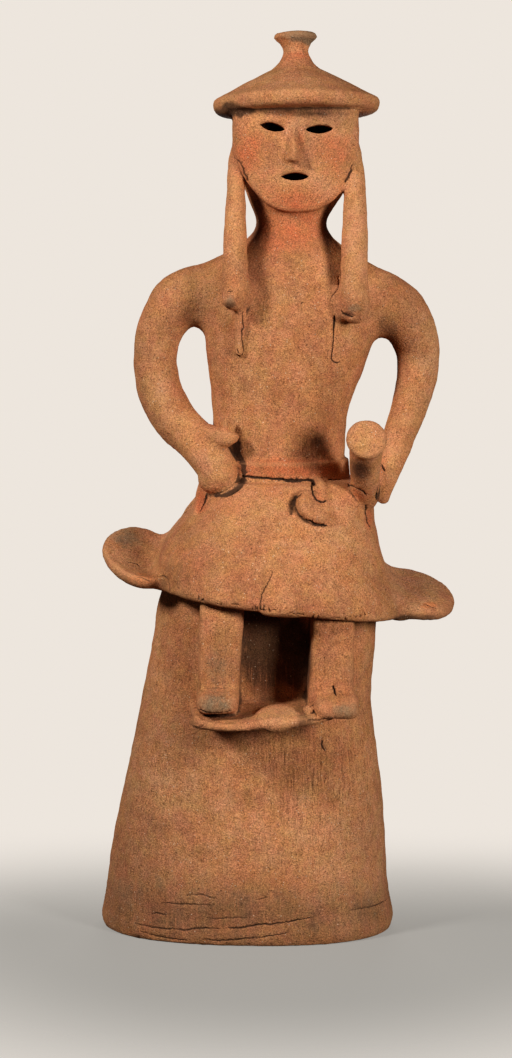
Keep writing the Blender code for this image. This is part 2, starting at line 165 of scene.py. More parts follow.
def seen_from(middle: Point, matrix: Array, x: Array, y: Array, z: Array) -> list[Array]:
    """Give places as they lie from a middle, along the columns of a matrix."""
    px, py, pz = at(*middle)
    dx, dy, dz = x - px, y - py, z - pz
    return [matrix[0, i] * dx + matrix[1, i] * dy + matrix[2, i] * dz for i in range(3)]


class Form:
    """A solid that knows its reach and its signed distance at any place."""

    def reach(self) -> tuple[Array, Array]:
        """Give the lowest and highest corners of a box round the form."""
        raise NotImplementedError

    def distance(self, x: Array, y: Array, z: Array) -> Array:
        """Give the signed distance at each place, negative inside."""
        raise NotImplementedError


@dataclass(frozen=True)
class Coil(Form):
    """A rolled coil of clay along a smooth route.

    Args:
        route: Rows of left-right, ahead, height and radius.
        spacing: How far apart the steps along the route are.
        flat: How much thinner the coil is fore and aft than across.
    """

    route: Rows
    spacing: float = 0.006
    flat: float = 1.0

    def steps(self) -> Array:
        """Give the route in world places, finely stepped."""
        rows = np.array(self.route, float)
        length = np.linalg.norm(np.diff(rows[:, :3], axis=0), axis=1).sum()
        count = max(len(rows), int(round(length / self.spacing)) + 1)
        rows = flow(self.route, count)
        rows[:, 1] = AXIS_BEHIND - rows[:, 1]
        return rows

    def reach(self) -> tuple[Array, Array]:
        """Give the lowest and highest corners of a box round the coil."""
        rows = self.steps()
        widest = rows[:, 3].max()
        return rows[:, :3].min(0) - widest, rows[:, :3].max(0) + widest

    def distance(self, x: Array, y: Array, z: Array) -> Array:
        """Give the signed distance to the nearest step of the coil."""
        rows = self.steps()
        best = np.full(np.broadcast_shapes(x.shape, y.shape, z.shape), FAR, np.float32)
        for start, end in zip(rows, rows[1:]):
            along = end[:3] - start[:3]
            squared = float(along @ along) + 1e-12
            dx, dy, dz = x - start[0], y - start[1], z - start[2]
            t = np.clip((dx * along[0] + dy * along[1] + dz * along[2]) / squared, 0, 1)
            away = (
                (dx - t * along[0]) ** 2
                + ((dy - t * along[1]) / self.flat) ** 2
                + (dz - t * along[2]) ** 2
            )
            radius = start[3] + t * (end[3] - start[3])
            best = np.minimum(best, np.sqrt(away) - radius)
        return best


@dataclass(frozen=True)
class OvalWall(Form):
    """A form that stands up through oval sections.

    Args:
        sections: Rows of height, left, right, ahead and behind.
        power: 2 for an ellipse, and more for a squarer section.
        rounding: The radius of its top and bottom edges.
        turn: Degrees that it is turned at the ground, fading out at the seat.
        fall: How much lower its right edge hangs than its middle, at the lowest section.
        capped: Whether the sections' own ends close it.
    """

    sections: Rows
    power: float = 2.3
    rounding: float = 0.004
    turn: float = 0.0
    fall: float = 0.0
    capped: bool = True

    def smoothed(self) -> Array:
        """Give the sections finely stepped, in order of height."""
        rows = flow(self.sections, WALL_LEVELS)
        return rows[np.argsort(rows[:, 0])]

    def reach(self) -> tuple[Array, Array]:
        """Give the lowest and highest corners of a box round the form."""
        rows = self.smoothed()
        side = abs(math.sin(math.radians(self.turn))) * 0.1
        low = np.array([rows[:, 1].min() - side, AXIS_BEHIND - rows[:, 3].max() - side,
                        rows[0, 0] - abs(self.fall)])
        high = np.array([rows[:, 2].max() + side, AXIS_BEHIND + rows[:, 4].max() + side,
                         rows[-1, 0] + abs(self.fall)])
        return low, high

    def distance(self, x: Array, y: Array, z: Array) -> Array:
        """Give the signed distance to the wall and its ends."""
        rows = self.smoothed()
        heights = rows[:, 0]
        level = z
        if self.fall:
            lowered = (heights[-1] - np.clip(z, heights[0], heights[-1])) / np.ptp(heights)
            level = z + self.fall * lowered * x / rows[0, 2]
        left, right, ahead, behind = (
            np.interp(level, heights, rows[:, i]).astype(np.float32) for i in range(1, 5)
        )
        half_x, half_y = (right - left) / 2, (ahead + behind) / 2
        dx = x - (left + right) / 2
        dy = y - (AXIS_BEHIND + (behind - ahead) / 2)
        if self.turn:
            angle = -math.radians(self.turn) * np.maximum(0, 1 - z / SEAT_HEIGHT)
            cos, sin = np.cos(angle), np.sin(angle)
            dx, dy = dx * cos + dy * sin, dy * cos - dx * sin
        u, v = np.abs(dx) / half_x, np.abs(dy) / half_y
        p = self.power
        size = np.maximum((u**p + v**p) ** (1 / p), LEAST_SIZE)
        grow = size ** (1 - p) * np.sqrt((u ** (p - 1) / half_x) ** 2 + (v ** (p - 1) / half_y) ** 2)
        mean = (rows[:, 2] - rows[:, 1] + rows[:, 3] + rows[:, 4]) / 4
        slope = np.gradient(mean, heights + np.arange(len(heights)) * 1e-7)
        lean = np.sqrt(1 + np.interp(level, heights, slope) ** 2)
        side = (size - 1) / np.maximum(grow, 1.0) / lean
        if not self.capped:
            return side.astype(np.float32)
        ends = np.maximum(level - heights[-1], heights[0] - level)
        return smooth_max(side, ends, self.rounding).astype(np.float32)


@dataclass(frozen=True)
class Turned(Form):
    """A profile of radius and height turned about its own axis.

    Args:
        profile: Rows of radius and height, from the top to the bottom.
        middle: Left-right, ahead and height of its zero point.
        matrix: How it is turned.
        deep: How deep it is fore and aft against its width.
        steps: How finely the profile is stepped.
    """

    profile: Rows
    middle: Point
    matrix: Array = field(default_factory=turn_matrix)
    deep: float = 1.0
    steps: int = 60

    def reach(self) -> tuple[Array, Array]:
        """Give the lowest and highest corners of a box round the form."""
        rows = np.array(self.profile)
        ball = np.linalg.norm(rows, axis=1).max()
        centre = np.array(at(*self.middle))
        corners = []
        for height in (rows[:, 1].min(), rows[:, 1].max()):
            corners.append(centre + self.matrix @ np.array([0, 0, height]))
        widest = min(ball, rows[:, 0].max() + 0.01)
        return np.min(corners, 0) - widest, np.max(corners, 0) + widest

    def distance(self, x: Array, y: Array, z: Array) -> Array:
        """Give the signed distance to the turned profile."""
        lx, ly, lz = seen_from(self.middle, self.matrix, x, y, z)
        radius = np.sqrt(lx * lx + (ly / self.deep) ** 2)
        rows = flow(self.profile, self.steps)
        best = np.full(radius.shape, FAR, np.float32)
        inside = np.zeros(radius.shape, bool)
        for (r0, h0), (r1, h1) in zip(rows, rows[1:]):
            er, eh = r1 - r0, h1 - h0
            squared = er * er + eh * eh + 1e-14
            t = np.clip(((radius - r0) * er + (lz - h0) * eh) / squared, 0, 1)
            away = (radius - r0 - t * er) ** 2 + (lz - h0 - t * eh) ** 2
            best = np.minimum(best, away)
            if abs(eh) > 1e-9:
                crosses = (h0 > lz) != (h1 > lz)
                inside ^= crosses & (radius < r0 + (lz - h0) / eh * er)
        best = np.sqrt(best)
        return np.where(inside, -best, best).astype(np.float32)


@dataclass(frozen=True)
class Plate(Form):
    """A round-edged oval plate in the plane of two half-axes, dished towards its front.

    Args:
        middle: Left-right, ahead and height of its centre.
        across: First half-axis, as left-right, ahead and height.
        along: Second half-axis, likewise.
        thick: Its thickness.
        dish: How far its edge rises over its centre.
        power: 2 for an oval, and more for a squarer plate.
    """

    middle: Point
    across: Point
    along: Point
    thick: float
    dish: float = 0.0
    power: float = 2.0

    def axes(self) -> Array:
        """Give the two half-axes and the upward unit normal as columns."""
        out = np.array([self.across[0], -self.across[1], self.across[2]])
        fore = np.array([self.along[0], -self.along[1], self.along[2]])
        up = np.cross(out, fore)
        up *= math.copysign(1.0, up[2]) / np.linalg.norm(up)
        return np.stack([out, fore, up], axis=1)

    def reach(self) -> tuple[Array, Array]:
        """Give the lowest and highest corners of a box round the plate."""
        out, fore, up = self.axes().T
        spread = np.abs(out) + np.abs(fore) + np.abs(up) * (self.thick + abs(self.dish))
        return around(self.middle, spread)

    def distance(self, x: Array, y: Array, z: Array) -> Array:
        """Give the signed distance to the dished plate."""
        basis = self.axes()
        a, b, lift = seen_from(self.middle, np.linalg.inv(basis).T, x, y, z)
        p = self.power
        size = np.maximum((np.abs(a) ** p + np.abs(b) ** p) ** (1 / p), LEAST_SIZE)
        long_a, long_b = np.linalg.norm(basis[:, 0]), np.linalg.norm(basis[:, 1])
        grow = size ** (1 - p) * np.sqrt(
            (np.abs(a) ** (p - 1) / long_a) ** 2 + (np.abs(b) ** (p - 1) / long_b) ** 2
        )
        edge = (size - 1) / np.maximum(grow, 1.0)
        curved = lift - self.dish * (np.minimum(size, DISH_END) ** 2 - 0.5)
        rounding = self.thick * PLATE_EDGE
        side, face = edge + rounding, np.abs(curved) - self.thick / 2 + rounding
        outside = np.sqrt(np.maximum(side, 0) ** 2 + np.maximum(face, 0) ** 2)
        return (outside + np.minimum(np.maximum(side, face), 0) - rounding).astype(np.float32)


@dataclass(frozen=True)
class Lump(Form):
    """A lump of clay with half-sizes across, fore and aft, and up.

    Args:
        middle: Left-right, ahead and height of its centre.
        half: Its three half-sizes.
        matrix: How it is turned.
    """

    middle: Point
    half: Point
    matrix: Array = field(default_factory=turn_matrix)

    def reach(self) -> tuple[Array, Array]:
        """Give the lowest and highest corners of a box round the lump."""
        return around(self.middle, max(self.half))

    def distance(self, x: Array, y: Array, z: Array) -> Array:
        """Give about the signed distance to the lump."""
        local = seen_from(self.middle, self.matrix, x, y, z)
        near = np.sqrt(sum((v / h) ** 2 for v, h in zip(local, self.half)))
        steep = np.sqrt(sum((v / h**2) ** 2 for v, h in zip(local, self.half)))
        return (near * (near - 1) / np.maximum(steep, 1e-4)).astype(np.float32)


@dataclass(frozen=True)
class Jaw(Form):
    """The outline of the face seen from the front, as deep as it needs to be.

    Args:
        chin: Left-right and height of the chin's lowest point.
        tall: How high the rounded part of the jaw is.
        half_width: Half the face's width above the jaw.
        curve: How round the jaw is.
    """

    chin: tuple[float, float]
    tall: float
    half_width: float
    curve: float

    def reach(self) -> tuple[Array, Array]:
        """Give the lowest and highest corners of a box round the outline."""
        low = np.array([self.chin[0] - self.half_width, -0.2, self.chin[1]])
        high = np.array([self.chin[0] + self.half_width, 0.1, 1.1])
        return low, high

    def distance(self, x: Array, y: Array, z: Array) -> Array:
        """Give about the signed distance to the outline."""
        up = np.clip((z - self.chin[1]) / self.tall, 1e-4, 1)
        half = self.half_width * up**self.curve
        slope = self.half_width * self.curve * up ** (self.curve - 1) / self.tall
        away = (np.abs(x - self.chin[0]) - half) / np.sqrt(1 + np.minimum(slope, 30) ** 2)
        return (np.maximum(away, self.chin[1] - z) + 0 * y).astype(np.float32)


@dataclass(frozen=True)
class Slit(Form):
    """A pointed oval cut straight through from the front.

    Args:
        middle: Left-right and height of its centre.
        wide: Its length.
        tall: Its height.
        tilt: Degrees that its right end is dropped.
        deep: How far ahead of the axis it runs from and to.
    """

    middle: tuple[float, float]
    wide: float
    tall: float
    tilt: float
    deep: tuple[float, float] = (0.025, 0.115)

    def reach(self) -> tuple[Array, Array]:
        """Give the lowest and highest corners of a box round the slit."""
        half = self.wide / 2
        low = np.array([self.middle[0] - half, AXIS_BEHIND - self.deep[1], self.middle[1] - half])
        high = np.array([self.middle[0] + half, AXIS_BEHIND - self.deep[0], self.middle[1] + half])
        return low, high

    def distance(self, x: Array, y: Array, z: Array) -> Array:
        """Give the signed distance to the slit."""
        angle = math.radians(self.tilt)
        dx, dz = x - self.middle[0], z - self.middle[1]
        u = dx * math.cos(angle) - dz * math.sin(angle)
        v = dx * math.sin(angle) + dz * math.cos(angle)
        length, height = self.wide / 2, self.tall / 2
        radius = (length**2 + height**2) / (2 * height)
        drop = radius - height
        lens = np.maximum(np.hypot(u, v + drop), np.hypot(u, v - drop)) - radius
        middle = AXIS_BEHIND - sum(self.deep) / 2
        ends = np.abs(y - middle) - abs(self.deep[1] - self.deep[0]) / 2
        return np.maximum(lens, ends).astype(np.float32)


class Clay:
    """Clay on a regular grid, which forms are pressed on to and cut from."""

    def __init__(self, step: float, low: Array, high: Array) -> None:
        """Set out an empty grid.

        Args:
            step: The distance between two grid points.
            low: The lowest corner that the grid has to hold.
            high: The highest corner that it has to hold.
        """
        self.step = step
        margin = GRID_MARGIN * step
        counts = np.ceil((high - low + 2 * margin) / step).astype(int) + 1
        self.origin = low - margin
        self.axes = [
            (self.origin[i] + step * np.arange(counts[i])).astype(np.float32) for i in range(3)
        ]
        self.amount = np.full(tuple(counts), 0.5, np.float32)

    def window(self, form: Form, margin: float) -> tuple[tuple[slice, ...], list[Array]]:
        """Give the part of the grid near a form, and its coordinates.

        Args:
            form: The form that is worked on.
            margin: How far round it the work reaches.

        Returns:
            The slices of the grid, and three arrays that broadcast over them.
        """
        low, high = form.reach()
        cut, coords = [], []
        for i in range(3):
            first = int(np.floor((low[i] - margin - self.origin[i]) / self.step))
            last = int(np.ceil((high[i] + margin - self.origin[i]) / self.step)) + 1
            first, last = max(first, 0), min(max(last, first + 1), len(self.axes[i]))
            cut.append(slice(first, last))
            shape = [1, 1, 1]
            shape[i] = -1
            coords.append(self.axes[i][first:last].reshape(shape))
        return tuple(cut), coords

    def press(self, form: Form, fillet: float = 0.0) -> None:
        """Join a form to the clay with a fillet."""
        cut, coords = self.window(form, fillet + FORM_MARGIN * self.step)
        self.amount[cut] = smooth_min(self.amount[cut], form.distance(*coords), fillet)

    def cut(self, form: Form, fillet: float = 0.0) -> None:
        """Take a form away from the clay, with a rounded edge."""
        cut, coords = self.window(form, fillet + FORM_MARGIN * self.step)
        self.amount[cut] = smooth_max(self.amount[cut], -form.distance(*coords), fillet)

    def outside(self, across: Array, height: Array, bearing: float = 0.0) -> Array:
        """Find the clay's outermost places, seen level from one side, or the nearest beside it.

        Args:
            across: How far each place is to the right of the axis, as seen from there.
            height: Its height.
            bearing: Degrees to the right of straight ahead that the clay is seen from.

        Returns:
            The places, one to a line.
        """
        angle = math.radians(bearing)
        right = np.array([math.cos(angle), math.sin(angle), 0.0])
        toward = np.array([math.sin(angle), -math.cos(angle), 0.0])
        reach = np.arange(LOOK_FROM, LOOK_TO, -self.step / 2)
        start = np.array([0.0, AXIS_BEHIND, 0.0]) + np.multiply.outer(across, right)
        start[:, 2] = height
        points = start[:, None, :] + reach[None, :, None] * toward
        amount = self.sample(self.amount, points.reshape(-1, 3)).reshape(len(start), -1)
        inside = amount < 0
        first = np.where(inside.any(1), np.argmax(inside, 1), np.argmin(amount, 1))
        first = np.maximum(first, 1)
        rows = np.arange(len(start))
        before, after = amount[rows, first - 1], amount[rows, first]
        share = np.clip(before / np.maximum(before - after, 1e-9), 0, 1)
        return points[rows, first - 1] * (1 - share[:, None]) + points[rows, first] * share[:, None]

    def front(self, across: float, height: float) -> float:
        """Find how far ahead of the axis the clay's front is, at a place in the front view."""
        place = self.outside(np.array([across]), np.array([height]))[0]
        return AXIS_BEHIND - float(place[1])

    def sample(self, values: Array, points: Array) -> Array:
        """Read a grid of values at any points, blending the eight grid points round each."""
        place = (points - self.origin) / self.step
        base = np.clip(np.floor(place).astype(int), 0, np.array(values.shape) - 2)
        part = np.clip(place - base, 0, 1)
        total = np.zeros(len(points))
        for corner in range(8):
            bits = np.array([corner & 1, corner >> 1 & 1, corner >> 2 & 1])
            weight = np.prod(np.where(bits, part, 1 - part), axis=1)
            i, j, k = (base + bits).T
            total += weight * values[i, j, k]
        return total

    def filled(self, radius: float) -> Array:
        """Give the share of solid clay in a box of about this radius round each grid point."""
        share = np.clip(0.5 - self.amount / self.step, 0, 1)
        width = max(1, int(round(radius / self.step)))
        for axis in range(3):
            for _ in range(2):
                total = np.cumsum(share, axis=axis, dtype=np.float32)
                ahead = np.roll(total, -width, axis=axis)
                back = np.roll(total, width + 1, axis=axis)
                share = np.clip((ahead - back) / (2 * width + 1), 0, 1)
        return share

    def skin(self) -> tuple[Array, Array]:
        """Draw one closed skin over the clay.

        Returns:
            The skin's points, and its faces of four points each, wound outwards.
        """
        solid = self.amount < 0
        count = np.zeros(tuple(n - 1 for n in solid.shape), np.uint8)
        halves = (slice(None, -1), slice(1, None))
        corners = [(i, j, k) for i in (0, 1) for j in (0, 1) for k in (0, 1)]
        for i, j, k in corners:
            count += solid[halves[i], halves[j], halves[k]]
        active = (count > 0) & (count < 8)
        number = np.full(active.shape, -1, np.int32)
        cells = np.argwhere(active)
        number[active] = np.arange(len(cells))
        value = {c: self.amount[tuple((cells + c).T)] for c in corners}
        total = np.zeros((len(cells), 3), np.float32)
        crossings = np.zeros(len(cells), np.float32)
        for c in corners:
            for axis in range(3):
                if c[axis]:
                    continue
                other = tuple(v + (n == axis) for n, v in enumerate(c))
                a, b = value[c], value[other]
                crosses = (a < 0) != (b < 0)
                share = np.where(crosses, a / np.where(crosses, a - b, 1), 0)
                place = np.array(c, np.float32)[None, :].repeat(len(cells), 0)
                place[:, axis] += share
                total += place * crosses[:, None]
                crossings += crosses
        points = self.origin + self.step * (cells + total / crossings[:, None])
        faces = []
        for axis in range(3):
            one, two = [n for n in range(3) if n != axis]
            first = [slice(None)] * 3
            second = [slice(None)] * 3
            first[axis], second[axis] = slice(None, -1), slice(1, None)
            change = solid[tuple(first)] != solid[tuple(second)]
            edges = np.argwhere(change)
            edges = edges[(edges[:, one] > 0) & (edges[:, two] > 0)]
            ring = []
            for back_one, back_two in ((1, 1), (0, 1), (0, 0), (1, 0)):
                cell = edges.copy()
                cell[:, one] -= back_one
                cell[:, two] -= back_two
                ring.append(number[tuple(cell.T)])
            quads = np.stack(ring, axis=1)
            turned = solid[tuple(edges.T)] != (axis == 1)
            faces.append(np.where(turned[:, None], quads, quads[:, ::-1]))
        return points, np.concatenate(faces)


class Tint(Enum):
    """What a patch of the surface carries. Each is kept as one attribute of the skin."""

    RED = "red_paint"
    GREY = "grey_crust"
    FRESH = "fresh_clay"
    # pale clay, and a painted highlight on the hat's cone and on the lump between the feet
    PALE = "pale_clay"
    BRUSHED = "brushed"
    # painted shade in recesses, gaps, undersides and cast shadows, and a few other dark patches
    SOOT = "soot"
    BLOOM = "grey_bloom"
    # the dark of the lines: dirt in cracks, and painted shade along the gap beside the left hand and left
    # of the knot's lobe
    CRACK = "crack"


@dataclass(frozen=True)
class Patch:
    """A soft-edged place where the surface carries more of a tint.

    Args:
        tint: What it carries.
        middle: Left-right, ahead and height of its centre.
        half: Its half-sizes across, fore and aft, and up.
        strength: How much of the tint lies in its middle.
        edge: The share of its size over which it fades out.
    """

    tint: Tint
    middle: Point
    half: Point
    strength: float
    edge: float

    def amount(self, points: Array) -> Array:
        """Give how much of the tint each point carries."""
        away = np.linalg.norm((points - at(*self.middle)) / np.array(self.half), axis=1)
        share = np.clip((1 + self.edge - away) / (2 * self.edge), 0, 1)
        return self.strength * share * share * (3 - 2 * share)


def tinted(tint: Tint, *rows: Row) -> tuple[Patch, ...]:
    """Give patches of one tint, from rows of middle, half-sizes, strength and edge."""
    return tuple(Patch(tint, row[:3], row[3:6], row[6], row[7]) for row in rows)


@dataclass(frozen=True)
class Line:
    """A crack, an incised line, or a band of painted shade, as it is seen level from one side.

    Args:
        route: Rows of across, height and half-width.
        depth: How deep it is.
        bearing: Degrees to the right of straight ahead that it is seen from.
        stray: How far it wanders off its route.
        dark: How dark it is, with dirt in a crack and painted shade in a band.
    """

    route: Rows
    depth: float = 0.0012
    bearing: float = 0.0
    stray: float = 0.0005
    dark: float = 1.0

    def trace(self, clay: Clay, chance: np.random.Generator) -> Array:
        """Lay the line on the clay.

        Args:
            clay: The clay that it runs over.
            chance: Where its wandering comes from.

        Returns:
            Finely spaced rows of the place, the half-width, the depth and the darkness.
        """
        rows = np.array(self.route, float)
        length = np.linalg.norm(np.diff(rows[:, :2], axis=0), axis=1).sum()
        rows = flow(self.route, max(4, int(length / WANDER_STEP)))
        wander = chance.normal(0, self.stray, (len(rows), 2))
        rows[:, :2] += (wander + np.roll(wander, 1, axis=0)) / 2
        places = clay.outside(rows[:, 0], rows[:, 1], self.bearing)
        rows = np.column_stack([places, np.maximum(rows[:, 2], LEAST_WIDTH)])
        gaps = np.linalg.norm(np.diff(rows[:, :3], axis=0), axis=1)
        along = np.concatenate([[0], np.cumsum(gaps)])
        even = np.arange(0, along[-1], LINE_STEP)
        fine = np.column_stack([np.interp(even, along, rows[:, i]) for i in range(4)])
        return np.column_stack([fine, np.full((len(fine), 2), (self.depth, self.dark))])


class Carving:
    """All the lines of the figure, ready to be cut into its skin."""

    def __init__(self, lines: Sequence[Line], clay: Clay) -> None:
        """Lay the lines on the clay."""
        chance = np.random.default_rng(LINE_SEED)
        self.rows = np.concatenate([line.trace(clay, chance) for line in lines])
        self.tree = KDTree(len(self.rows))
        for number, row in enumerate(self.rows):
            self.tree.insert(row[:3], number)
        self.tree.balance()

    def nearest(self, points: Array) -> tuple[Array, Array]:
        """Give the row of the lines nearest to each point, and how far away it is."""
        found = [self.tree.find(point) for point in points]
        return np.array([one[1] for one in found]), np.array([one[2] for one in found])

    def near(self, points: Array, normals: Array) -> tuple[Array, Array]:
        """Find how deep and how dark the lines make each point of a skin.

        Args:
            points: The points.
            normals: The way that the skin faces at each of them.

        Returns:
            How deep each point is pressed in, and how dark it is.
        """
        number, away = self.nearest(points)
        row = self.rows[number]
        gap = points - row[:, :3]
        gap = gap - normals * (gap * normals).sum(1)[:, None]
        share = np.clip(1 - (np.linalg.norm(gap, axis=1) / (LINE_LIP * row[:, 3])) ** 2, 0, 1)
        share = np.where(away < LINE_REACH, share, 0)
        return row[:, 4] * share ** 1.5, row[:, 5] * np.sqrt(share)


@dataclass
class SubAssembly:
    """A group of forms that is pressed on to the clay, with its own lines and patches.

    Args:
        cracks: The cracks and incised lines that are traced on it.
        patches: The places where its surface carries a tint.
    """

    cracks: Sequence[Line] = ()
    patches: Sequence[Patch] = ()

    def press(self, clay: Clay) -> None:
        """Press the group's forms on to the clay."""
        raise NotImplementedError

    def lines(self) -> Sequence[Line]:
        """Give all the lines that are cut into the group."""
        return self.cracks


@dataclass
class Trunk(SubAssembly):
    """The hollow body, from the ground to the crown of the head.

    Args:
        sections: Rows of height, left, right, ahead and behind.
        turn: Degrees that the base is turned on the ground.
        hollow_top: Where the hollow inside it ends.
        hollow_round: How round the hollow's upper end is.
        skin_share: The share of the wall's thickness that still counts as its outside.
        strokes: How many strokes of the brush are cut into it below the ledge and all round.
        scratches: How many level scratches run round its foot, away from the front.
        seed: Which strokes and scratches are drawn.
    """

    sections: Rows = (
        (0.0, -0.2212, 0.1412, 0.1188, 0.1188), (0.012, -0.2238, 0.144, 0.1208, 0.1208),
        (0.027, -0.2216, 0.1418, 0.1196, 0.1196), (0.057, -0.2172, 0.137, 0.118, 0.118),
        (0.113, -0.209, 0.134, 0.115, 0.116), (0.181, -0.195, 0.129, 0.112, 0.113),
        (0.28, -0.1745, 0.117, 0.108, 0.109), (0.357, -0.16, 0.122, 0.105, 0.107),
        (0.417, -0.15, 0.122, 0.103, 0.105), (0.49, -0.118, 0.105, 0.092, 0.09),
        (0.56, -0.085, 0.085, 0.076, 0.07), (0.611, -0.0838, 0.0838, 0.073, 0.067),
        (0.655, -0.0842, 0.089, 0.074, 0.068), (0.705, -0.0895, 0.108, 0.076, 0.07),
        (0.75, -0.094, 0.121, 0.078, 0.07), (0.8, -0.096, 0.122, 0.076, 0.066),
        (0.836, -0.083, 0.108, 0.07, 0.058), (0.855, -0.057, 0.084, 0.061, 0.05),
        (0.872, -0.035, 0.066, 0.053, 0.044), (0.892, -0.029, 0.061, 0.049, 0.041),
        (0.926, -0.042, 0.082, 0.056, 0.052), (0.962, -0.053, 0.094, 0.063, 0.066),
        (1.0, -0.059, 0.0985, 0.066, 0.072), (1.044, -0.0585, 0.0985, 0.066, 0.072),
    )
    turn: float = 4.5
    hollow_top: float = 1.031
    hollow_round: float = 0.03
    skin_share: float = 0.6
    strokes: tuple[int, int] = (92, 50)
    scratches: int = 16
    seed: int = 21
    cracks: Sequence[Line] = (
        Line(((-0.1797, 0.0187, 0.0004), (-0.1588, 0.0175, 0.0008), (-0.1405, 0.0172, 0.0009),
              (-0.1282, 0.0187, 0.0006), (-0.1184, 0.0175, 0.0009), (-0.1099, 0.0194, 0.0009),
              (-0.0976, 0.0212, 0.001), (-0.0817, 0.0218, 0.0007), (-0.0731, 0.0212, 0.0004)), 0.0016,
              dark=0.75),
        Line(((-0.0658, 0.0224, 0.0004), (-0.0548, 0.023, 0.001), (-0.045, 0.0236, 0.0011),
              (-0.034, 0.0255, 0.0009), (-0.0217, 0.0273, 0.0008), (-0.0095, 0.0279, 0.0009),
              (0.0028, 0.0292, 0.0006), (0.015, 0.031, 0.0008), (0.0272, 0.0328, 0.0006),
              (0.0395, 0.0341, 0.0003)), 0.0018, dark=0.75),
        Line(((-0.094, 0.0077, 0.0004), (-0.0793, 0.0065, 0.0008), (-0.0634, 0.0077, 0.0009),
              (-0.0523, 0.009, 0.001), (-0.0364, 0.0108, 0.0009), (-0.0266, 0.0114, 0.0006),
              (-0.0119, 0.0139, 0.0009), (0.0003, 0.0157, 0.0007), (0.0113, 0.0181, 0.0004)), 0.0016,
              dark=0.65),
        Line(((-0.1588, 0.0338, 0.0004), (-0.1503, 0.0347, 0.0008), (-0.1405, 0.0334, 0.0004))),
        Line(((-0.1148, 0.0598, 0.0004), (-0.105, 0.061, 0.0008), (-0.0952, 0.0616, 0.0009),
              (-0.0866, 0.0598, 0.0007), (-0.0768, 0.0573, 0.0004)), dark=0.6),
        Line(((-0.0903, 0.0334, 0.0004), (-0.0756, 0.0334, 0.0007), (-0.0609, 0.0347, 0.0008),
              (-0.0474, 0.0359, 0.0005), (-0.0352, 0.0347, 0.0003)), dark=0.6),
        Line(((-0.0303, 0.0567, 0.0003), (-0.0217, 0.0585, 0.0007), (-0.0144, 0.0598, 0.0008)), dark=0.6),
        Line(((0.0517, 0.2482, 0.001), (0.0525, 0.2427, 0.0012), (0.0559, 0.2359, 0.0006)), 0.002),
        Line(((-0.0452, 0.7768, 0.0005), (-0.045, 0.7657, 0.0008), (-0.0445, 0.7558, 0.001),
              (-0.0465, 0.752, 0.0009), (-0.0459, 0.7434, 0.0009), (-0.0452, 0.7347, 0.0011),
              (-0.0444, 0.7266, 0.0009), (-0.0471, 0.7214, 0.0008), (-0.0514, 0.7207, 0.0007),
              (-0.0545, 0.7241, 0.0005)), 0.002, stray=0.0003, dark=0.85),
        Line(((-0.0529, 0.7291, 0.0005), (-0.0514, 0.7248, 0.0009)), 0.0014),
        Line(((0.068, 0.7706, 0.001), (0.0683, 0.7657, 0.0016), (0.0676, 0.757, 0.0012),
              (0.0676, 0.7471, 0.0007), (0.067, 0.7384, 0.0007), (0.0657, 0.7285, 0.0008),
              (0.0646, 0.7186, 0.0008), (0.0664, 0.7145, 0.0008), (0.0707, 0.7121, 0.0008),
              (0.075, 0.7124, 0.0006)), 0.0022, stray=0.0003, dark=0.9),
    )
    patches: Sequence[Patch] = (
        *tinted(Tint.BRUSHED, (-0.03, 0.0, 0.15, 0.4, 0.4, 0.23, 0.75, 0.15),
                (0.07, 0.11, 0.205, 0.075, 0.06, 0.085, 1.0, 0.5),
                (0.005, 0.07, 0.64, 0.12, 0.08, 0.07, 0.55, 0.5)),
        *tinted(Tint.RED, (0.019, 0.05, 0.9, 0.06, 0.06, 0.036, 0.5, 0.9),
                (-0.03, 0.04, 0.85, 0.03, 0.05, 0.04, 0.42, 0.9),
                (0.025, 0.055, 0.86, 0.03, 0.05, 0.022, 0.3, 0.9)),
        *tinted(Tint.BLOOM, (-0.16, 0.03, 0.12, 0.08, 0.14, 0.15, 1.0, 0.9),
                (0.12, 0.06, 0.08, 0.06, 0.14, 0.11, 0.9, 0.9),
                (-0.02, 0.12, 0.045, 0.18, 0.12, 0.028, 0.7, 0.7)),
        # Dark patches: the foot of the base darkened towards the ground, and painted shadows of the locks
        # on the neck and the chest and of the pommel on the torso.
        *tinted(Tint.SOOT, (-0.02, 0.0, 0.02, 0.26, 0.26, 0.046, 0.42, 0.7),
                (-0.02, 0.0, 0.06, 0.3, 0.3, 0.05, 0.26, 0.9),
                (-0.029, 0.035, 0.895, 0.011, 0.05, 0.042, 0.8, 0.7),
                (0.0605, 0.03, 0.885, 0.008, 0.05, 0.038, 0.8, 0.7),
                (-0.032, 0.06, 0.825, 0.015, 0.04, 0.038, 0.4, 0.9),
                (0.064, 0.06, 0.83, 0.008, 0.04, 0.03, 0.45, 0.8),
                (0.056, 0.08, 0.608, 0.02, 0.03, 0.013, 0.75, 0.7),
                (0.048, 0.08, 0.622, 0.009, 0.03, 0.011, 0.4, 0.9)),
        *tinted(Tint.GREY, (-0.13, 0.03, 0.06, 0.11, 0.12, 0.085, 0.45, 0.9),
                (0.11, 0.06, 0.05, 0.05, 0.12, 0.065, 0.3, 0.9),
                (-0.1, 0.1, 0.27, 0.09, 0.05, 0.055, 0.35, 0.9)),
        *tinted(Tint.PALE, (0.02, 0.1, 0.11, 0.11, 0.06, 0.07, 0.45, 0.8),
                (0.015, 0.06, 0.8, 0.05, 0.05, 0.04, 0.35, 0.8)),
    )

    def wall(self, capped: bool) -> OvalWall:
        """Give the body's outside, with or without its ends."""
        return OvalWall(self.sections, rounding=0.003, turn=self.turn, capped=capped)

    def press(self, clay: Clay) -> None:
        """Stand the body on the grid, still solid."""
        clay.press(self.wall(capped=True))

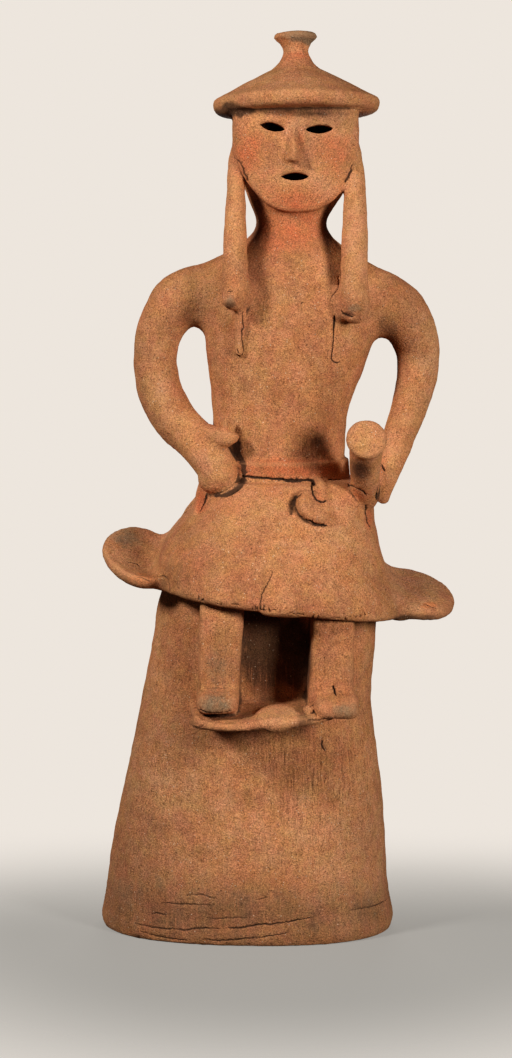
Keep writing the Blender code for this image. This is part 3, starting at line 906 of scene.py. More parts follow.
    def hollow(self, clay: Clay) -> None:
        """Take out the inside, open below and closed at the crown."""
        outer = self.wall(capped=False)
        cut, coords = clay.window(outer, GRID_MARGIN * clay.step)
        above = coords[2] - self.hollow_top
        inside = smooth_max(outer.distance(*coords) + WALL, above, self.hollow_round)
        clay.amount[cut] = np.maximum(clay.amount[cut], -inside)

    def hidden(self, points: Array) -> Array:
        """Give 1 for each point on the inside of the wall, and 0 for the rest."""
        x, y, z = points.T
        deep = self.wall(capped=False).distance(x, y, z) < -self.skin_share * WALL
        return (deep & (z < self.hollow_top + 0.004)).astype(np.float32)

    def lines(self) -> Sequence[Line]:
        """Give the cracks of the foot and the chest, the strokes and the scratches."""
        chance = np.random.default_rng(self.seed)
        return (*self.cracks, *self.brushed(chance), *self.scratched(chance))

    def brushed(self, chance: np.random.Generator) -> list[Line]:
        """Give the upright strokes of the brush, in front and then all round."""
        front, round_it = self.strokes
        found = []
        for number in range(front + round_it):
            ahead = number < front
            across = chance.normal(0.045, 0.045) if ahead else chance.uniform(-0.06, 0.06)
            top = chance.uniform(0.165, 0.252) if ahead else chance.uniform(0.1, 0.33)
            length, lean = chance.uniform(0.008, 0.03), chance.normal(0, 0.001)
            wide = chance.uniform(0.0004, 0.0008)
            route = ((across, top, 0.0003), (across + lean, top - length * 0.4, wide),
                     (across + lean * 2, top - length, 0.0003))
            bearing = 0.0 if ahead else chance.uniform(60, 300)
            found.append(Line(route, chance.uniform(0.0005, 0.001), bearing, 0.0002,
                              chance.uniform(0.15, 0.55)))
        return found

    def scratched(self, chance: np.random.Generator) -> list[Line]:
        """Give the level scratches round the foot."""
        found = []
        for _ in range(self.scratches):
            across, height = chance.uniform(-0.07, 0.03), chance.uniform(0.008, 0.06)
            length, rise = chance.uniform(0.025, 0.08), chance.normal(0, 0.002)
            route = ((across, height, 0.0004), (across + length / 2, height + rise, 0.001),
                     (across + length, height + rise * 1.5, 0.0004))
            found.append(Line(route, 0.0014, chance.uniform(50, 310), 0.0004, 0.6))
        return found


@dataclass(frozen=True)
class Trimmed(Form):
    """What two forms share, with a rounded edge.

    Args:
        first: The form that is kept.
        second: The form that trims it.
        edge: How round the edge between them is.
    """

    first: Form
    second: Form
    edge: float

    def reach(self) -> tuple[Array, Array]:
        """Give the lowest and highest corners of a box round what is kept."""
        return self.first.reach()

    def distance(self, x: Array, y: Array, z: Array) -> Array:
        """Give the signed distance to what the two share."""
        return smooth_max(self.first.distance(x, y, z), self.second.distance(x, y, z), self.edge)


@dataclass
class Head(SubAssembly):
    """The mask-like face, with a nose like a wedge and slits for the eyes and the mouth.

    Args:
        mask: Rows of height, left, right, ahead and behind.
        jaw: The outline that trims it.
        nose: Rows like the mask's.
        eye_left: The slit of the eye that is on the left in the front view.
        eye_right: The slit of the other eye.
        mouth: The slit of the mouth.
    """

    mask: Rows = (
        (0.884, -0.052, 0.092, 0.06, -0.01), (0.93, -0.058, 0.097, 0.067, -0.01),
        (0.98, -0.06, 0.1, 0.072, -0.01), (1.04, -0.0595, 0.0995, 0.0705, -0.01),
    )
    jaw: Jaw = Jaw((0.0235, 0.9), 0.079, 0.083, 0.37)
    nose: Rows = (
        (1.023, 0.014, 0.022, 0.0715, -0.05), (1.008, 0.0128, 0.0225, 0.0758, -0.05),
        (0.991, 0.0112, 0.0242, 0.0802, -0.05), (0.973, 0.0085, 0.0275, 0.085, -0.05),
        (0.9655, 0.0074, 0.0285, 0.0862, -0.0505), (0.9618, 0.0095, 0.0265, 0.0808, -0.052),
    )
    eye_left: Slit = Slit((-0.0091, 1.0057), 0.033, 0.01, 12.0)
    eye_right: Slit = Slit((0.05, 1.003), 0.0356, 0.0104, -2.0)
    mouth: Slit = Slit((0.0196, 0.9438), 0.0362, 0.0098, 0.0)
    cracks: Sequence[Line] = (
        Line(((-0.0597, 0.9761, 0.0004), (-0.0554, 0.9686, 0.001), (-0.0485, 0.9599, 0.0014),
              (-0.0441, 0.9499, 0.0018), (-0.0398, 0.9399, 0.002)), 0.002, dark=0.6),
        Line(((0.0925, 0.96, 0.0005), (0.0895, 0.953, 0.0014), (0.086, 0.944, 0.0018),
              (0.0825, 0.937, 0.0016)), 0.002, dark=0.6),
        Line(((0.09, 0.986, 0.0003), (0.093, 0.983, 0.0009), (0.096, 0.9835, 0.0004)), 0.001, dark=0.5),
        Line(((0.093, 0.996, 0.0003), (0.0955, 0.9925, 0.0008), (0.0975, 0.99, 0.0004)), 0.001, dark=0.5),
    )
    patches: Sequence[Patch] = (
        *tinted(Tint.RED, (-0.047, 0.06, 0.985, 0.02, 0.05, 0.026, 0.55, 0.8),
                (-0.018, 0.07, 0.988, 0.014, 0.04, 0.014, 0.38, 0.9),
                (-0.03, 0.06, 0.955, 0.03, 0.05, 0.026, 0.36, 0.8),
                (0.066, 0.06, 0.972, 0.028, 0.05, 0.03, 0.62, 0.9),
                (0.023, 0.06, 0.918, 0.034, 0.05, 0.014, 0.3, 0.8),
                (0.0262, 0.08, 0.986, 0.005, 0.03, 0.02, 0.48, 0.8)),
        *tinted(Tint.GREY, (0.056, 0.06, 1.02, 0.036, 0.05, 0.009, 0.34, 0.7),
                (0.036, 0.07, 0.983, 0.009, 0.03, 0.02, 0.42, 0.9),
                (-0.002, 0.07, 0.966, 0.014, 0.03, 0.012, 0.34, 0.9),
                (0.018, 0.07, 0.956, 0.026, 0.03, 0.008, 0.32, 0.8)),
        # Painted shade under the nose, and the painted shadow of the brim along the top of the forehead.
        *tinted(Tint.SOOT, (0.0205, 0.085, 0.961, 0.006, 0.02, 0.0025, 0.6, 0.7),
                (-0.044, 0.05, 1.031, 0.026, 0.022, 0.0105, 1.15, 0.25),
                (-0.006, 0.055, 1.0335, 0.033, 0.02, 0.007, 1.0, 0.4),
                (0.048, 0.055, 1.035, 0.056, 0.022, 0.005, 0.45, 0.6)),
        *tinted(Tint.PALE, (-0.008, 0.06, 0.935, 0.022, 0.04, 0.018, 0.75, 0.8),
                (0.048, 0.06, 0.935, 0.022, 0.04, 0.022, 0.65, 0.8),
                (-0.01, 0.06, 1.023, 0.045, 0.04, 0.012, 0.6, 0.8),
                (0.008, 0.08, 0.99, 0.01, 0.03, 0.02, 0.55, 0.8)),
        *tinted(Tint.BLOOM, (0.05, 0.06, 1.01, 0.045, 0.05, 0.018, 1.0, 0.8),
                (0.033, 0.07, 0.985, 0.012, 0.03, 0.024, 0.9, 0.8)),
    )

    def press(self, clay: Clay) -> None:
        """Press the face on to the head."""
        plate = OvalWall(self.mask, power=2.5, rounding=0.01)
        clay.press(Trimmed(plate, self.jaw, 0.005), 0.003)
        clay.press(OvalWall(self.nose, power=1.5, rounding=0.003), 0.0045)

    def pierce(self, clay: Clay) -> None:
        """Cut the eyes and the mouth through to the hollow."""
        for slit in (self.eye_left, self.eye_right, self.mouth):
            clay.cut(slit, 0.0016)


@dataclass
class Locks(SubAssembly):
    """The long rolls of hair beside the face, their ends pressed on the chest.

    Args:
        left: Rows of left-right, ahead, height and radius.
        right: The same, for the other lock.
        ends: The lumps that hold their ends on the chest, each with its fillet.
        tie: Rows like the locks', for the thin cord below the left one.
    """

    left: Rows = (
        (-0.048, 0.022, 0.995, 0.0095), (-0.0532, 0.036, 0.96, 0.0105), (-0.0542, 0.05, 0.9256, 0.0112),
        (-0.0549, 0.068, 0.8776, 0.014), (-0.0551, 0.081, 0.835, 0.0156), (-0.0551, 0.087, 0.806, 0.0168),
        (-0.0565, 0.087, 0.79, 0.0125),
    )
    right: Rows = (
        (0.088, 0.024, 0.99, 0.012), (0.0921, 0.036, 0.9599, 0.0135), (0.0944, 0.05, 0.9256, 0.0138),
        (0.0938, 0.068, 0.8776, 0.0158), (0.0927, 0.08, 0.8337, 0.0163), (0.0934, 0.084, 0.794, 0.017),
        (0.0945, 0.081, 0.774, 0.0125),
    )
    ends: Sequence[tuple[Lump, float]] = (
        (Lump((-0.05, 0.076, 0.8), (0.0185, 0.015, 0.019)), 0.01),
        (Lump((0.074, 0.072, 0.787), (0.012, 0.012, 0.021)), 0.009),
        (Lump((0.092, 0.073, 0.785), (0.02, 0.015, 0.019)), 0.01),
        (Lump((-0.0612, 0.0945, 0.7895), (0.0092, 0.011, 0.009)), 0.005),
    )
    tie: Rows = (
        (-0.049, 0.076, 0.79, 0.007), (-0.0495, 0.073, 0.755, 0.0062), (-0.0498, 0.071, 0.726, 0.0052),
    )
    cracks: Sequence[Line] = (
        Line(((0.0738, 0.8204, 0.0005), (0.0734, 0.8068, 0.0008), (0.0697, 0.8006, 0.001),
              (0.0652, 0.795, 0.0009), (0.0627, 0.7882, 0.0005)), 0.002, dark=0.6),
        Line(((0.0765, 0.778, 0.0006), (0.0796, 0.7735, 0.0012), (0.0845, 0.7712, 0.0014),
              (0.0907, 0.7703, 0.0008)), 0.002, dark=0.7),
        Line(((0.0971, 0.772, 0.0004), (0.0996, 0.7671, 0.0006), (0.1006, 0.7622, 0.0004)), 0.0012,
              dark=0.4),
        Line(((-0.064, 0.802, 0.0003), (-0.0615, 0.8015, 0.0006), (-0.0585, 0.8025, 0.0003)), 0.0008),
    )
    patches: Sequence[Patch] = (
        *tinted(Tint.GREY, (-0.0612, 0.105, 0.79, 0.0085, 0.014, 0.0085, 0.75, 0.7),
                (0.092, 0.094, 0.781, 0.012, 0.02, 0.007, 0.8, 0.6),
                (-0.052, 0.046, 0.963, 0.008, 0.03, 0.012, 0.45, 0.8)),
        # Painted shade under the ends of the locks.
        *tinted(Tint.SOOT, (-0.0612, 0.103, 0.785, 0.0075, 0.014, 0.005, 0.85, 0.7),
                (0.0845, 0.092, 0.7735, 0.01, 0.02, 0.0035, 0.7, 0.8)),
        *tinted(Tint.RED, (-0.055, 0.1, 0.815, 0.012, 0.02, 0.012, 0.4, 0.7)),
        *tinted(Tint.PALE, (0.093, 0.08, 0.86, 0.02, 0.04, 0.08, 0.3, 0.6),
                (-0.055, 0.08, 0.86, 0.016, 0.04, 0.07, 0.45, 0.6)),
    )

    def press(self, clay: Clay) -> None:
        """Press the locks on, with the clay smeared over their ends."""
        clay.press(Coil(self.left), 0.005)
        clay.press(Coil(self.right), 0.005)
        for lump, fillet in self.ends:
            clay.press(lump, fillet)
        clay.press(Coil(self.tie), 0.006)


@dataclass
class Hat(SubAssembly):
    """The shallow cone hat with a spool on top, tipped back a little.

    Args:
        middle: Left-right, ahead and height of the middle of its brim.
        tip_back: Degrees that it is tipped back.
        lean: Degrees that it leans to the left.
        deep: How deep it is fore and aft against its width.
        profile: Rows of radius and height, from the top of the spool to the underside.
        steps: How finely the profile is stepped.
        sags: The lumps under its brim.
    """

    middle: Point = (0.0224, 0.0, 1.033)
    tip_back: float = 3.8
    lean: float = 1.0
    deep: float = 0.97
    profile: Rows = (
        (0.0, 0.0952), (0.015, 0.0958), (0.024, 0.0955), (0.0272, 0.0922), (0.0268, 0.0882),
        (0.0212, 0.0838), (0.0176, 0.0785), (0.0157, 0.0735), (0.0162, 0.0685), (0.0187, 0.0634),
        (0.0215, 0.0583), (0.0262, 0.0532), (0.0325, 0.0481), (0.0415, 0.0431), (0.0515, 0.038),
        (0.0705, 0.0282), (0.089, 0.0182), (0.099, 0.0132), (0.1042, 0.01), (0.1055, 0.0058),
        (0.1048, 0.0004), (0.1025, -0.0046), (0.099, -0.007), (0.094, -0.008), (0.086, -0.0085),
        (0.078, -0.0088), (0.07, -0.009), (0.0, -0.0094),
    )
    steps: int = 110
    sags: Sequence[Lump] = (
        Lump((-0.058, 0.0, 1.0285), (0.0185, 0.048, 0.0085)),
        Lump((0.101, 0.0, 1.03), (0.017, 0.042, 0.006)),
    )
    patches: Sequence[Patch] = (
        *tinted(Tint.RED, (0.022, 0.01, 1.0975, 0.034, 0.04, 0.0075, 0.5, 0.7)),
        # Pale clay, with a painted highlight on the upper cone where the light falls.
        *tinted(Tint.PALE, (-0.01, 0.04, 1.064, 0.09, 0.06, 0.014, 0.55, 0.6),
                (-0.05, 0.06, 1.062, 0.05, 0.04, 0.02, 0.45, 0.8)),
        # Painted shade on the underside of the brim and where it meets the head.
        *tinted(Tint.SOOT, (0.0224, 0.0, 1.034, 0.116, 0.116, 0.008, 0.22, 0.6),
                (-0.064, 0.03, 1.0245, 0.03, 0.06, 0.006, 1.0, 0.5),
                (0.0225, 0.0, 1.0225, 0.092, 0.092, 0.0065, 0.8, 0.3)),
        *tinted(Tint.GREY, (0.03, 0.01, 1.123, 0.03, 0.04, 0.008, 0.9, 0.6),
                (0.045, 0.01, 1.118, 0.01, 0.03, 0.01, 0.6, 0.8)),
        *tinted(Tint.FRESH, (0.118, 0.03, 1.035, 0.012, 0.03, 0.008, 0.5, 0.8)),
    )

    def press(self, clay: Clay) -> None:
        """Set the hat on the head."""
        matrix = turn_matrix(tip=-self.tip_back, lean=-self.lean)
        clay.press(Turned(self.profile, self.middle, matrix, self.deep, self.steps), 0.001)
        for sag in self.sags:
            clay.press(sag, 0.005)


@dataclass
class Arms(SubAssembly):
    """The two bowed arms. One hand has a thumb, and the other is drawn out to a point.

    Args:
        left: Rows of left-right, ahead, height and radius.
        right: The same, for the other arm.
        thumb: The same, for the thumb of the left hand.
        shoulder: How many rows of an arm are smoothed into the shoulder.
        palm: The lump below the left hand.
        spur: The stub above its thumb.
        wrist: The lump where the right hand meets the hip.
        web: The thin web between the right hand and the hip.
        holes: The pits that are cut beside the thumb.
        gap: Rows like the arms', for the groove between the left hand and the body.
        edge: How wide the painted shade along that groove is, against the groove's radius.
    """

    left: Rows = (
        (-0.04, 0.004, 0.8, 0.028), (-0.088, 0.004, 0.797, 0.038), (-0.122, 0.004, 0.79, 0.0365),
        (-0.142, 0.005, 0.769, 0.0315), (-0.154, 0.005, 0.742, 0.0285), (-0.1572, 0.006, 0.711, 0.0268),
        (-0.151, 0.01, 0.675, 0.028), (-0.132, 0.024, 0.64, 0.0277), (-0.107, 0.045, 0.6165, 0.0256),
        (-0.087, 0.061, 0.595, 0.0252), (-0.076, 0.067, 0.5785, 0.024), (-0.0745, 0.068, 0.5705, 0.0215),
    )
    right: Rows = (
        (0.06, 0.004, 0.8, 0.03), (0.112, 0.004, 0.791, 0.041), (0.147, 0.004, 0.776, 0.0375),
        (0.165, 0.005, 0.757, 0.032), (0.1756, 0.005, 0.727, 0.0278), (0.175, 0.008, 0.692, 0.0248),
        (0.165, 0.022, 0.657, 0.0226), (0.1515, 0.042, 0.622, 0.02), (0.14, 0.058, 0.592, 0.018),
        (0.133, 0.065, 0.566, 0.0125), (0.1297, 0.068, 0.544, 0.007),
    )
    thumb: Rows = (
        (-0.096, 0.058, 0.622, 0.015), (-0.079, 0.07, 0.62, 0.014), (-0.066, 0.079, 0.6185, 0.0108),
        (-0.057, 0.081, 0.62, 0.0066), (-0.0535, 0.081, 0.6215, 0.0036),
    )
    shoulder: int = 6
    palm: Lump = Lump((-0.0835, 0.068, 0.5655), (0.0165, 0.017, 0.015))
    spur: Lump = Lump((-0.0665, 0.074, 0.6365), (0.004, 0.0075, 0.0088))
    wrist: Lump = Lump((0.118, 0.064, 0.58), (0.014, 0.018, 0.019))
    web: Lump = Lump((0.1205, 0.056, 0.554), (0.0055, 0.012, 0.013))
    holes: Sequence[Lump] = (
        Lump((-0.056, 0.074, 0.6055), (0.006, 0.013, 0.0085)),
        Lump((-0.06, 0.08, 0.631), (0.003, 0.008, 0.0036)),
    )
    gap: Rows = (
        (-0.05, 0.074, 0.6213, 0.0042), (-0.052, 0.074, 0.6114, 0.0047), (-0.0535, 0.076, 0.602, 0.0042),
        (-0.0485, 0.08, 0.5941, 0.0034), (-0.0445, 0.083, 0.583, 0.0034), (-0.0443, 0.085, 0.5695, 0.0038),
        (-0.051, 0.088, 0.5577, 0.0034), (-0.064, 0.09, 0.5502, 0.0026), (-0.0798, 0.086, 0.548, 0.0018),
    )
    edge: float = 0.9
    cracks: Sequence[Line] = (
        Line(((0.1212, 0.56, 0.001), (0.1204, 0.552, 0.002), (0.1206, 0.544, 0.0016)), 0.003),
        Line(((0.1273, 0.5863, 0.0008), (0.1289, 0.5825, 0.0013), (0.1297, 0.5782, 0.0008)), 0.0025,
              dark=0.8),
        Line(((-0.066, 0.641, 0.0004), (-0.064, 0.637, 0.0008), (-0.0645, 0.632, 0.0005)), 0.0014,
              dark=0.7),
        Line(((-0.0902, 0.5496, 0.0022), (-0.0925, 0.5417, 0.0017), (-0.096, 0.5327, 0.001),
              (-0.0997, 0.528, 0.0005)), 0.0026),
    )
    patches: Sequence[Patch] = (
        *tinted(Tint.GREY, (-0.11, 0.03, 0.76, 0.022, 0.05, 0.02, 0.5, 0.8),
                (0.15, 0.03, 0.77, 0.03, 0.05, 0.022, 0.3, 0.8)),
        *tinted(Tint.PALE, (-0.16, 0.02, 0.7, 0.022, 0.04, 0.05, 0.45, 0.8),
                (0.185, 0.02, 0.72, 0.02, 0.04, 0.06, 0.45, 0.8),
                (-0.09, 0.08, 0.6, 0.03, 0.03, 0.03, 0.35, 0.8)),
        *tinted(Tint.RED, (0.126, 0.07, 0.595, 0.009, 0.03, 0.02, 0.4, 0.7),
                (0.145, 0.03, 0.8, 0.03, 0.04, 0.014, 0.3, 0.9)),
        # Painted shade in the gap beside the thumb, between the right hand and the hip, along the inner
        # side of the right arm and in the pits on the inner side of each arm.
        *tinted(Tint.SOOT, (-0.054, 0.062, 0.606, 0.008, 0.014, 0.014, 1.0, 0.5),
                (0.1215, 0.062, 0.55, 0.0038, 0.018, 0.011, 1.1, 0.4),
                (0.144, 0.0, 0.705, 0.01, 0.04, 0.056, 0.8, 0.6),
                (0.133, 0.005, 0.762, 0.015, 0.04, 0.015, 0.7, 0.8),
                (-0.113, 0.01, 0.764, 0.015, 0.04, 0.012, 0.5, 0.8)),
        *tinted(Tint.BLOOM, (-0.156, 0.02, 0.7, 0.03, 0.06, 0.07, 0.7, 0.8),
                (0.19, 0.02, 0.72, 0.025, 0.06, 0.08, 0.7, 0.8)),
        *tinted(Tint.BRUSHED, (-0.095, 0.07, 0.6, 0.04, 0.05, 0.045, 0.3, 0.6)),
    )

    def press(self, clay: Clay) -> None:
        """Press the arms and hands on, smoothed into the shoulders."""
        for arm in (self.left, self.right):
            clay.press(Coil(arm[: self.shoulder]), 0.02)
            clay.press(Coil(arm[self.shoulder - 1 :]), 0.002)
        clay.press(self.palm, 0.006)
        clay.press(Coil(self.thumb), 0.004)
        clay.press(self.spur, 0.002)
        clay.press(self.wrist, 0.01)
        clay.press(self.web, 0.003)
        for hole in self.holes:
            clay.cut(hole, 0.002)
        clay.cut(Coil(self.gap), 0.0015)

    def lines(self) -> Sequence[Line]:
        """Give the painted shade along the gap beside the left hand, and the cracks of the hands."""
        # painted shade along the gap beside the left hand
        beside = tuple((x, z, radius * self.edge) for x, _, z, radius in self.gap[1:])
        return (Line(beside, 0.0004, stray=0.0002), *self.cracks)


@dataclass
class Sword(SubAssembly):
    """The sword's hilt, standing forward and up at the hip, with a flat round pommel.

    Args:
        foot: Left-right, ahead, height and radius where the grip leaves the body.
        head: The same, where it meets the pommel.
        grip_end: How far towards the pommel's middle the grip goes.
        pommel_rise: Degrees that the pommel's face is turned up.
        pommel: Rows of radius and height above its middle, from its face to its back.
        steps: How finely those rows are stepped.
    """

    foot: Row = (0.1055, 0.066, 0.545, 0.0168)
    head: Row = (0.105, 0.146, 0.6225, 0.0205)
    grip_end: float = 0.86
    pommel_rise: float = 24.0
    pommel: Rows = (
        (0.0, 0.0058), (0.012, 0.006), (0.0205, 0.005), (0.024, 0.0026), (0.0247, -0.0004),
        (0.0236, -0.0032), (0.0195, -0.0056), (0.0, -0.0064),
    )
    steps: int = 50
    patches: Sequence[Patch] = (
        *tinted(Tint.SOOT, (0.097, 0.13, 0.586, 0.014, 0.03, 0.016, 0.85, 0.8)),
        *tinted(Tint.GREY, (0.095, 0.12, 0.57, 0.014, 0.03, 0.022, 0.6, 0.8)),
        *tinted(Tint.FRESH, (0.112, 0.12, 0.57, 0.01, 0.03, 0.012, 0.4, 0.8)),
        *tinted(Tint.PALE, (0.105, 0.155, 0.623, 0.024, 0.03, 0.022, 0.3, 0.8)),
    )

    def press(self, clay: Clay) -> None:
        """Press the grip and the pommel on."""
        foot, head = np.array(self.foot), np.array(self.head)
        grip = [tuple(foot + (head - foot) * share * self.grip_end) for share in (0, 0.33, 0.67, 1)]
        clay.press(Coil(grip), 0.004)
        matrix = turn_matrix(tip=90.0 - self.pommel_rise)
        clay.press(Turned(self.pommel, self.head[:3], matrix, steps=self.steps), 0.004)


@dataclass(frozen=True)
class HungSlab(Form):
    """A slab of clay hung round the waist and open below.

    Args:
        outside: Its outer surface, with ends.
        inside: The same surface, without ends.
        thick: How thick the slab is.
        rounding: How round its edge below is.
    """

    outside: OvalWall
    inside: OvalWall
    thick: float
    rounding: float = 0.006

    def reach(self) -> tuple[Array, Array]:
        """Give the lowest and highest corners of a box round the slab."""
        return self.outside.reach()

    def distance(self, x: Array, y: Array, z: Array) -> Array:
        """Give the signed distance to the slab."""
        hollow = self.inside.distance(x, y, z) + self.thick
        return smooth_max(self.outside.distance(x, y, z), -hollow, self.rounding)


@dataclass
class Coat(SubAssembly):
    """The belt with its knot, the flaring skirt with its pleat, and the flap at each side.

    Args:
        belt: Rows of height, left, right, ahead and behind.
        skirt: The same, for the skirt.
        thick: How thick the skirt's clay is.
        fall: How much lower its right edge hangs than its middle.
        pleat: Rows like the skirt's, for the pleat down its front.
        flap_left: The flap that stands out on the left.
        flap_right: The flap on the right.
        strap: Rows of left-right, height, radius and how far it is sunk, for the knot's cord.
        lobe: The end of the knot, which lies on the clay's front, so its ahead is how proud it is.
        nicks: The chips that are cut from the hem.
        hem: Rows of left-right and height along the front of the hem.
        nips: How many small cracks there are along it.
        seed: Which of them are drawn.
        sash: Rows like the strap's, for the end of the sash.
    """

    belt: Rows = (
        (0.561, -0.088, 0.088, 0.0795, 0.073), (0.566, -0.0892, 0.0892, 0.0808, 0.074),
        (0.58, -0.089, 0.089, 0.08, 0.0735), (0.5865, -0.0886, 0.0886, 0.0806, 0.073),
        (0.59, -0.087, 0.087, 0.0785, 0.0715),
    )
    skirt: Rows = (
        (0.566, -0.088, 0.095, 0.084, 0.078), (0.556, -0.093, 0.117, 0.101, 0.088),
        (0.515, -0.121, 0.121, 0.136, 0.112), (0.47, -0.148, 0.133, 0.168, 0.133),
        (0.43, -0.152, 0.156, 0.187, 0.146), (0.415, -0.15, 0.156, 0.188, 0.146),
    )
    thick: float = 0.014
    fall: float = 0.019
    pleat: Rows = (
        (0.472, -0.001, 0.013, 0.16, -0.15), (0.452, -0.008, 0.0165, 0.178, -0.166),
        (0.43, -0.0165, 0.0205, 0.1885, -0.176), (0.419, -0.0205, 0.0215, 0.1905, -0.179),
        (0.413, -0.0185, 0.018, 0.186, -0.179),
    )
    flap_left: Plate = Plate(
        (-0.1745, 0.03, 0.4605), (-0.049, 0.0, 0.007), (0.005, 0.062, -0.0262), 0.016, 0.016, 1.85)
    flap_right: Plate = Plate(
        (0.1646, 0.03, 0.4225), (0.056, 0.0, -0.0125), (-0.0025, 0.062, -0.0175), 0.016, -0.005)
    strap: Rows = (
        (0.049, 0.564, 0.0066, 0.0045), (0.05, 0.559, 0.0078, 0.005), (0.0515, 0.553, 0.0078, 0.0052),
        (0.052, 0.548, 0.0064, 0.0044),
    )
    lobe: Plate = Plate(
        (0.0412, 0.0015, 0.5375), (0.021, -0.004, -0.0098), (-0.0008, 0.0185, -0.015), 0.016, 0.0, 2.2)
    nicks: Sequence[Lump] = (
        Lump((-0.15, 0.12, 0.429), (0.006, 0.01, 0.0035)),
        Lump((-0.039, 0.185, 0.416), (0.006, 0.008, 0.0024)),
        Lump((-0.028, 0.187, 0.417), (0.0028, 0.008, 0.0026)),
        Lump((0.026, 0.188, 0.406), (0.005, 0.008, 0.0026)),
        Lump((0.056, 0.184, 0.396), (0.008, 0.008, 0.0022)),
        Lump((0.086, 0.172, 0.396), (0.006, 0.01, 0.003)),
        Lump((0.04, -0.13, 0.406), (0.012, 0.01, 0.0036)),
        Lump((-0.07, -0.125, 0.418), (0.008, 0.012, 0.003)),
    )
    hem: Sequence[tuple[float, float]] = (
        (-0.14, 0.4405), (-0.115, 0.4335), (-0.09, 0.428), (-0.05, 0.4215), (-0.02, 0.42), (0.01, 0.417),
        (0.035, 0.4095), (0.06, 0.4035), (0.085, 0.4065), (0.11, 0.413),
    )
    nips: int = 38
    seed: int = 8
    sash: Rows = (
        (-0.096, 0.559, 0.005, 0.002), (-0.0985, 0.546, 0.006, 0.003), (-0.1005, 0.533, 0.0055, 0.0035),
        (-0.1045, 0.522, 0.003, 0.002),
    )
    cracks: Sequence[Line] = (
        Line(((-0.0452, 0.5721, 0.0011), (-0.0304, 0.5708, 0.0015), (-0.0217, 0.5702, 0.0012),
              (0.0006, 0.569, 0.0014), (0.0167, 0.5671, 0.0018), (0.0291, 0.5677, 0.0013),
              (0.0402, 0.5665, 0.0015), (0.0427, 0.5621, 0.0016)), 0.003),
        Line(((0.0625, 0.5665, 0.0008), (0.0699, 0.5659, 0.0011), (0.0774, 0.5652, 0.0008)), 0.002),
        Line(((0.086, 0.5615, 0.0009), (0.0947, 0.5591, 0.0011), (0.1009, 0.5566, 0.0012),
              (0.1071, 0.5504, 0.0008)), 0.002),
        Line(((0.0411, 0.5653, 0.0011), (0.0399, 0.5592, 0.0012), (0.0418, 0.553, 0.0013),
              (0.0461, 0.5469, 0.0015), (0.0522, 0.5438, 0.0013), (0.0572, 0.545, 0.0007)), 0.0022),
        Line(((0.026, 0.5272, 0.0008), (0.033, 0.5232, 0.0014), (0.04, 0.5205, 0.0016),
              (0.049, 0.5172, 0.0016), (0.057, 0.5155, 0.0008)), 0.0022),
        # A broad, shallow band of painted shadow to the left of the knot's lobe.
        Line(((0.027, 0.5545, 0.001), (0.0205, 0.55, 0.0022), (0.0162, 0.544, 0.0036),
              (0.0145, 0.537, 0.0036), (0.0135, 0.53, 0.002)), 0.0008, dark=0.6),
        Line(((-0.1222, 0.516, 0.0006), (-0.1149, 0.5265, 0.001), (-0.108, 0.535, 0.0008)), 0.0014,
              dark=0.7),
        Line(((0.1076, 0.537, 0.0008), (0.1064, 0.5271, 0.0012), (0.1088, 0.5172, 0.0013),
              (0.1132, 0.5079, 0.0009)), 0.002),
        Line(((-0.0086, 0.4676, 0.0003), (-0.011, 0.4592, 0.0006), (-0.0158, 0.4508, 0.0008),
              (-0.0206, 0.4424, 0.0009), (-0.023, 0.4328, 0.0009), (-0.0242, 0.4208, 0.0012)), 0.0014,
              dark=0.65),
        Line(((0.0129, 0.4462, 0.0003), (0.0177, 0.4379, 0.0005), (0.0201, 0.4283, 0.0006),
              (0.0201, 0.4163, 0.0008)), 0.0008, dark=0.4),
        Line(((-0.1183, 0.445, 0.0003), (-0.1165, 0.451, 0.0005), (-0.1117, 0.4582, 0.0003)), 0.0008,
              dark=0.4),
        Line(((0.0764, 0.4247, 0.0003), (0.077, 0.4199, 0.0005), (0.0752, 0.4151, 0.0004)), 0.0008,
              dark=0.4),
        Line(((-0.1897, 0.4615, 0.0004), (-0.1811, 0.4596, 0.0007), (-0.1736, 0.4553, 0.0004)), 0.001),
        Line(((-0.1749, 0.4491, 0.0004), (-0.1675, 0.4473, 0.0007), (-0.1601, 0.4436, 0.0005)), 0.001),
        Line(((-0.1502, 0.4486, 0.0004), (-0.1453, 0.4516, 0.0008), (-0.1392, 0.4486, 0.0009),
              (-0.1355, 0.4425, 0.001), (-0.1349, 0.4339, 0.0012)), 0.0018, dark=0.65),
        Line(((0.1377, 0.4189, 0.0003), (0.1438, 0.4127, 0.0006), (0.1513, 0.4151, 0.0004),
              (0.1599, 0.409, 0.0006), (0.1686, 0.4065, 0.0003)), 0.0008, dark=0.4),
        Line(((0.1797, 0.4139, 0.0004), (0.1859, 0.4114, 0.0007), (0.1945, 0.4083, 0.0005)), 0.001),
        Line(((0.02, 0.552, 0.0006), (0.004, 0.549, 0.0011), (-0.016, 0.553, 0.0006)), 0.0018, 180.0),
        Line(((-0.06, 0.47, 0.0004), (-0.052, 0.446, 0.0009), (-0.057, 0.424, 0.0012)), 0.0016, 180.0),
        Line(((0.03, 0.44, 0.0004), (0.04, 0.425, 0.0008), (0.038, 0.412, 0.001)), 0.0014, 100.0),
        Line(((-0.02, 0.455, 0.0004), (-0.028, 0.44, 0.0008), (-0.026, 0.425, 0.001)), 0.0014, 250.0),
    )
